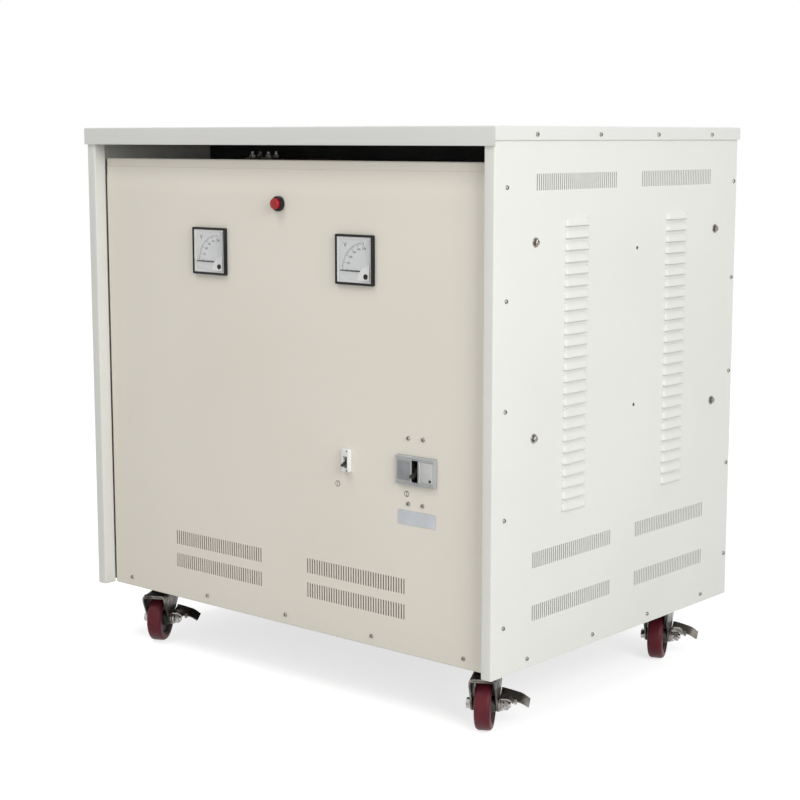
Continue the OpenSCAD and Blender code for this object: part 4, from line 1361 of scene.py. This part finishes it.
@dataclass
class Transformer:
    """What shows through the air slot, the vents and from below."""

    stud_x: tuple[float, float] = (-345 * MM, -296 * MM)

    def build(self) -> None:
        """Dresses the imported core, coils, clamps, board and rails, and adds studs and bolts."""
        for node in ("coil_left", "coil_middle", "coil_right"):
            dress_node(node, COIL_VARNISH.material())
        dress_node("core", CORE_STEEL.material())
        dress_node("base_frame", RAIL_BLACK.material())
        dress_node("terminal_board", BOARD_BROWN.material())
        for node in ("top_clamps", "bottom_clamps"):
            dress_node(node, CLAMP_BLACK.material())
        low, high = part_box("terminal_board")
        y = (low[1] + high[1]) / 2
        places = np.array([(x, y + s * 12 * MM, high[2]) for x in self.stud_x for s in (-1, 1)])
        fasteners("board_studs", Head.STUD, places, (0, 0, 1))
        bar = slab(30 * MM, 44 * MM, soft_levels(0, 2 * MM, 0.5 * MM), 3 * MM)
        lugs = bar.repeated(np.array([(x, y, high[2]) for x in self.stud_x]))
        add_piece("board_links", lugs, AXLE_ZINC.material(), "cabinet")
        core_low, core_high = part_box("core")
        for word, node in (("top", "top_clamps"), ("bottom", "bottom_clamps")):
            clamp_low, clamp_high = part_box(node)
            z = (clamp_low[2] + clamp_high[2]) / 2
            xs = np.linspace(core_low[0] + 50 * MM, core_high[0] - 50 * MM, 5)
            for side, name in ((-1, "front"), (1, "back")):
                face = core_low[1] - 6 * MM if side < 0 else core_high[1] + 6 * MM
                spots = np.array([(x, face, z) for x in xs])
                fasteners(f"clamp_bolts_{word}_{name}", Head.STUD, spots, (0, side, 0))


# ---------------------------------------------------------------- casters


@dataclass
class Caster:
    """One braked swivel caster. Its own axes: X along the trail, Y along the axle, Z up."""

    corner: str
    turn: float
    wheel_r: float = 50 * MM
    trail: float = 27 * MM
    leg_y: float = 24.5 * MM
    leg_t: float = 3 * MM
    crown_z: float = 106 * MM
    crown_t: float = 4 * MM

    def axes(self) -> dict:
        """Origin on the floor under the swivel axis, and the three axes."""
        low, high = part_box("caster_plates")
        cx = high[0] - 52 * MM if "right" in self.corner else low[0] + 52 * MM
        cy = high[1] - 42 * MM if "back" in self.corner else low[1] + 42 * MM
        t = math.radians(self.turn)
        return {"origin": (cx, cy, 0), "x": (math.cos(t), math.sin(t), 0), "y": (-math.sin(t), math.cos(t), 0)}

    def on_axle(self, surface: Surface) -> Surface:
        """Lays a surface turned about Z along the wheel's axle, with its Z towards the brake."""
        return surface.placed((self.trail, 0, self.wheel_r), x=(1, 0, 0), y=(0, 0, -1), z=(0, 1, 0))

    def fork(self) -> Surface:
        """The pressed yoke: one sheet bent over the wheel, its legs narrowing to round feet.

        The sheet's line runs up one leg, round a bend of 7 mm, over the crown and down the other
        leg. At each height its front and back edges follow a straight taper between the crown
        and the foot, and below the axle a half circle.

        Returns:
            The closed yoke with its front skirt and raceway.
        """
        foot = 14 * MM
        bend = 7 * MM
        top = self.crown_z + self.crown_t - 1.5 * MM
        axle = self.wheel_r
        a = np.linspace(0, math.pi / 2, 7)
        low_z = axle - foot * np.cos(a[:-1])
        leg = np.concatenate([low_z, np.linspace(axle, top - bend, 9)])
        down = np.column_stack([np.full(len(leg), -self.leg_y), leg])
        arc = np.column_stack([-self.leg_y + bend * (1 - np.cos(a[1:])), top - bend + bend * np.sin(a[1:])])
        half = np.concatenate([down, arc])
        path = np.concatenate([half, half[::-1] * (-1, 1)])
        z = np.minimum(path[:, 1], top)
        share = np.clip((z - axle) / (top - 12 * MM - axle), 0, 1)
        drop = np.sqrt(np.maximum(foot**2 - np.minimum(z - axle, 0) ** 2, (1 * MM) ** 2))
        front = np.where(z < axle, self.trail + drop, self.trail + foot + share * (70 * MM - self.trail - foot))
        rear = np.where(z < axle, self.trail - drop, self.trail - foot - share * (self.trail - foot + 30 * MM))
        along = np.gradient(path, axis=0)
        normal = np.stack([-along[:, 1], along[:, 0]], -1) / np.linalg.norm(along, axis=1)[:, None]
        v = np.linspace(0, 1, 9)
        layers = []
        for side, order in ((1.5 * MM, 1), (-1.5 * MM, -1)):
            line = path + normal * side
            x = rear[:, None] + (front - rear)[:, None] * v[None]
            layer = np.stack([x, np.broadcast_to(line[:, :1], x.shape), np.broadcast_to(line[:, 1:], x.shape)], -1)
            layers.append(layer[:, ::order])
        yoke = grid(np.concatenate(layers, 1), round_v=True, ends=True)
        lip = plate(rounded_path([(0, 6 * MM), (6 * MM, 5.5 * MM), (9 * MM, 0)], 2.5 * MM), 46 * MM, 3 * MM)
        lip = lip.placed((60 * MM, 0, self.crown_z - 3.5 * MM), x=(0, 1, 0), y=(1, 0, 0))
        race = lathe([(8 * MM, 110 * MM), (30 * MM, 110 * MM), (33 * MM, 113 * MM), (33 * MM, 117.4 * MM),
                      (31 * MM, 118 * MM), (8 * MM, 118 * MM)], 48)
        rivet_ring = lathe([(9.2 * MM, 103.5 * MM), (13 * MM, 103.5 * MM), (15 * MM, 106 * MM), (9.2 * MM, 106 * MM)], 40)
        return joined(yoke, lip, race, rivet_ring)

    def brake(self) -> Surface:
        """The brake lever: a side cheek, a strap curled over the axle nut and a broad foot tab.

        The strap is a sheet bent through a square corner of 5 mm, and the tab one that slopes
        down along its length and curls over at its tip.

        Returns:
            The joined surface.
        """
        start = 27 * MM
        lobe = lathe([(6.3 * MM, start), (13.5 * MM, start), (13.5 * MM, start + 2.5 * MM),
                      (6.3 * MM, start + 2.5 * MM)], 40)
        tail = slab(22 * MM, 24 * MM, soft_levels(start, start + 2.5 * MM, 0.6 * MM), 5 * MM)
        cheek = self.on_axle(joined(lobe, tail.placed((-20 * MM, 0, 0))))
        line = rounded_path([(start + 1.2 * MM, 7.5 * MM), (start + 1.2 * MM, 14.5 * MM),
                             (start + 20 * MM, 14.5 * MM), (start + 27 * MM, 6 * MM)], 5 * MM)
        width = np.interp(line[:, 1], [7.5 * MM, 14.5 * MM], [20 * MM, 28 * MM])
        strap = plate(line, width, 2.5 * MM).placed((self.trail, 0, self.wheel_r))
        tab_line = rounded_path([(start, 13 * MM), (start + 10 * MM, 15 * MM), (start + 40 * MM, 8 * MM),
                                 (start + 54 * MM, -3 * MM)], 7 * MM)
        tab_width = np.interp(tab_line[:, 0], [start, start + 12 * MM, start + 54 * MM], [44 * MM, 34 * MM, 26 * MM])
        tab = plate(tab_line, tab_width, 2.5 * MM)
        lean = math.radians(20)
        tab = tab.placed((self.trail - 26 * MM, 0, self.wheel_r), x=(math.cos(lean), 0, -math.sin(lean)),
                         z=(math.sin(lean), 0, math.cos(lean)))
        knob = hex_prism(10 * MM, start + 27 * MM, start + 32 * MM)
        return joined(cheek, strap, tab, knob.placed((self.trail - 10 * MM, 0, self.wheel_r + 4 * MM),
                                                     x=(1, 0, 0), y=(0, 0, -1), z=(0, 1, 0)))

    def wheel(self) -> tuple[Surface, Surface]:
        """The moulded wheel core and its tread, both turned about the axle.

        Returns:
            The core and the tread.
        """
        core = [(6.1, -22), (13, -22), (15, -20), (17, -9), (33, -8), (34, -13), (35, -14), (38, -14),
                (38, 14), (35, 14), (34, 13), (33, 8), (17, 9), (15, 20), (13, 22), (6.1, 22)]
        a = np.linspace(0, math.pi / 2, 6)
        shoulder = 7.0
        low = np.column_stack([50 - shoulder + shoulder * np.sin(a), -16 + shoulder * (1 - np.cos(a))])
        tread = np.concatenate([[(38, 16), (38, -16)], low, low[::-1] * (1, -1)])
        return lathe([(r * MM, z * MM) for r, z in core], 64), lathe([(r * MM, z * MM) for r, z in tread], 96)

    def axle(self) -> Surface:
        """The axle bolt with its head, its nut, washers and the threaded end."""
        end = 38 * MM
        bolt = lathe([(0, -34 * MM), (6 * MM, -34 * MM), (6 * MM, end + 9 * MM), (5 * MM, end + 10.5 * MM),
                      (0, end + 10.5 * MM)], 24, False)
        washers = [lathe([(6 * MM, z), (12 * MM, z), (12 * MM, z + 1.5 * MM), (6 * MM, z + 1.5 * MM)], 32)
                   for z in (-28.2 * MM, 31 * MM, 33 * MM)]
        return joined(bolt, *washers, hex_prism(18 * MM, -36 * MM, -28.2 * MM), hex_prism(18 * MM, 36 * MM, end + 7 * MM))

    def build(self) -> None:
        """Builds the caster's pieces on their bodies."""
        axes = self.axes()
        name = self.corner
        steel = CASTER_STEEL.material()
        add_piece(f"{name}_yoke", self.fork().placed(**axes), steel, f"{name}_swivel",
                  (f"caster_{name}_fork",), 40)
        add_piece(f"{name}_axle_bolt", self.on_axle(self.axle()).placed(**axes), AXLE_ZINC.material(),
                  f"{name}_swivel", (f"caster_{name}_axle",), 30)
        core, tread = self.wheel()
        add_piece(f"{name}_wheel_core", self.on_axle(core).placed(**axes), WHEEL_BLACK.material(),
                  f"{name}_wheel", (f"caster_{name}_wheel",), 40)
        add_piece(f"{name}_tread_ring", self.on_axle(tread).placed(**axes), TREAD_MAROON.material(),
                  f"{name}_wheel", (f"caster_{name}_tread",), 40)
        add_piece(f"{name}_brake_lever", self.brake().placed(**axes), BRAKE_STEEL.material(), f"{name}_brake",
                  (f"caster_{name}_brake",), 40)


@dataclass
class TopPlates:
    """The four plates that bolt the casters to the base rails."""

    def build(self) -> None:
        """Builds the plates with their upper raceways, kingpins and bolts."""
        low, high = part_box("caster_plates")
        cx, cy = high[0] - 52 * MM, high[1] - 42 * MM
        base = slab(104 * MM, 84 * MM, soft_levels(124 * MM, 130 * MM, 0.8 * MM), 6 * MM)
        race = lathe([(0, 118.3 * MM), (30 * MM, 118.3 * MM), (33 * MM, 119.5 * MM), (33 * MM, 122 * MM),
                      (29 * MM, 124.2 * MM), (0, 124.2 * MM)], 48, False)
        pin = joined(lathe([(0, 103.2 * MM), (8 * MM, 103.2 * MM), (9 * MM, 104 * MM), (9 * MM, 105.7 * MM),
                            (7 * MM, 105.7 * MM), (7 * MM, 106.7 * MM), (0, 106.7 * MM)], 32, False),
                     lathe([(0, 110.3 * MM), (7 * MM, 110.3 * MM), (7 * MM, 119 * MM), (0, 119 * MM)], 32, False))
        places = np.array([(sx * cx, sy * cy, 0) for sx in (-1, 1) for sy in (-1, 1)])
        add_piece("top_plates", joined(base, race, pin).repeated(places), CASTER_STEEL.material(), "cabinet",
                  ("caster_plates",))
        bolts = np.array([p + (sx * 42 * MM, sy * 31 * MM, 124 * MM)
                          for p in places for sx in (-1, 1) for sy in (-1, 1)])
        fasteners("plate_bolts", Head.WASHER_BOLT, bolts, (0, 0, -1))


# ---------------------------------------------------------------- studio


@dataclass
class Studio:
    """A pale floor, soft lamps and the camera."""

    eye: tuple[float, float, float] = (2.41595, -2.83151, 1.1084)
    towards: tuple[float, float, float] = (-0.64534, 0.74919, -0.14915)
    lens: float = 78.15

    def camera(self) -> None:
        """Places the camera at eye height in front of the right corner."""
        data = bpy.data.cameras.new("camera")
        data.lens, data.sensor_width = self.lens, 36
        data.clip_end = 60
        cam = bpy.data.objects.new("camera", data)
        cam.location = self.eye
        cam.rotation_mode = "QUATERNION"
        cam.rotation_quaternion = Vector(self.towards).to_track_quat("-Z", "Y")
        bpy.context.scene.collection.objects.link(cam)
        bpy.context.scene.camera = cam

    def lamp(self, name: str, place: tuple, size: float, power: float, colour: tuple = (1, 1, 1)) -> None:
        """Adds a square soft lamp that points at the middle of the cabinet.

        Args:
            name: name of the lamp.
            place: its X, Y, Z.
            size: length of its side.
            power: watts.
            colour: tint of its light.
        """
        data = bpy.data.lights.new(name, "AREA")
        data.energy, data.size, data.color = power, size, colour
        lamp = bpy.data.objects.new(name, data)
        lamp.location = place
        aim = Vector((0, 0, 0.55)) - Vector(place)
        lamp.rotation_mode = "QUATERNION"
        lamp.rotation_quaternion = aim.to_track_quat("-Z", "Y")
        bpy.context.scene.collection.objects.link(lamp)

    def background_ray(self, tree: bpy.types.NodeTree) -> bpy.types.NodeSocket:
        """1 for rays from the camera, off gloss or through glass, and 0 for others.

        Args:
            tree: the node tree to add it to.

        Returns:
            The mask's socket.
        """
        path = tree.nodes.new("ShaderNodeLightPath")
        add = tree.nodes.new("ShaderNodeMath")
        add.operation = "ADD"
        tree.links.new(path.outputs["Is Camera Ray"], add.inputs[0])
        tree.links.new(path.outputs["Is Glossy Ray"], add.inputs[1])
        both = tree.nodes.new("ShaderNodeMath")
        both.operation = "ADD"
        both.use_clamp = True
        tree.links.new(add.outputs["Value"], both.inputs[0])
        tree.links.new(path.outputs["Is Transmission Ray"], both.inputs[1])
        return both.outputs["Value"]

    def world(self) -> None:
        """A white background over a softer, plain ambient light."""
        world = bpy.data.worlds.new("studio")
        bpy.context.scene.world = world
        world.use_nodes = True
        tree = world.node_tree
        ambient = tree.nodes["Background"]
        ambient.inputs["Color"].default_value = (1, 1, 1, 1)
        ambient.inputs["Strength"].default_value = 0.53
        seen = tree.nodes.new("ShaderNodeBackground")
        seen.inputs["Color"].default_value = (1, 1, 1, 1)
        seen.inputs["Strength"].default_value = 1.0
        mix = tree.nodes.new("ShaderNodeMixShader")
        tree.links.new(self.background_ray(tree), mix.inputs["Fac"])
        tree.links.new(ambient.outputs["Background"], mix.inputs[1])
        tree.links.new(seen.outputs["Background"], mix.inputs[2])
        tree.links.new(mix.outputs["Shader"], tree.nodes["World Output"].inputs["Surface"])

    def floor(self) -> None:
        """A wide pale floor that shows white where nothing shades it."""
        half = 14.0
        corners = np.array([[(-half, -half, 0), (-half, half, 0)], [(half, -half, 0), (half, half, 0)]])
        floor = build_mesh("floor", grid(corners))
        material = bpy.data.materials.new("floor_white")
        material.use_nodes = True
        tree = material.node_tree
        shader = tree.nodes["Principled BSDF"]
        shader.inputs["Base Color"].default_value = (0.62, 0.62, 0.62, 1)
        shader.inputs["Roughness"].default_value = 0.9
        shader.inputs["Specular IOR Level"].default_value = 0.0
        glow = tree.nodes.new("ShaderNodeMath")
        glow.operation = "MULTIPLY"
        glow.inputs[1].default_value = 0.70
        tree.links.new(self.background_ray(tree), glow.inputs[0])
        shader.inputs["Emission Color"].default_value = (1, 1, 1, 1)
        tree.links.new(glow.outputs["Value"], shader.inputs["Emission Strength"])
        floor.data.materials.append(material)

    def build(self) -> None:
        """Sets up the view, the lamps, the world and the floor."""
        self.camera()
        self.lamp("key", (3.6, -1.5, 2.0), 2.2, 84)
        self.lamp("fill", (-0.7, -2.4, 4.4), 1.6, 42, (1.0, 0.985, 0.96))
        self.lamp("top", (0.3, 0.2, 4.4), 3.0, 10)
        self.world()
        self.floor()
        bpy.context.scene.view_settings.view_transform = "Standard"


# ---------------------------------------------------------------- main


def windows() -> list[tuple[float, float, float, float]]:
    """Edges of the openings for the instruments in the front panel.

    Returns:
        Left, right, bottom and top of each, with heights above the foot of the panel.
    """
    gap, foot = 0.5 * MM, 130 * MM
    found = []
    for node in ("starter_breaker", "main_breaker"):
        low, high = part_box(node)
        found.append((low[0] - gap, high[0] + gap, low[2] - gap - foot, high[2] + gap - foot))
    meter_z, half = 750 * MM, 43 * MM
    for x in (-200 * MM, 200 * MM):
        found.append((x - half, x + half, meter_z - half, meter_z + half))
    low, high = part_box("lamp_lens")
    found.append((low[0] - gap, high[0] + gap, low[2] - gap - foot, high[2] + gap - foot))
    return found


def main() -> None:
    """Builds the whole object and the studio, in order."""
    logging.basicConfig(level=logging.INFO, format="%(message)s")
    Studio().build()
    cabinet = Cabinet(windows=windows())
    cabinet.build()
    face_y = cabinet.recess - cabinet.depth / 2
    for word in ("left", "right"):
        Meter(word, face_y).build()
    PilotLamp(face_y).build()
    Breakers(face_y).build()
    Transformer().build()
    TopPlates().build()
    for corner, turn in zip(CORNERS, (-61, -60, -62, -67)):
        Caster(corner, turn).build()


if __name__ == "__main__":
    main()
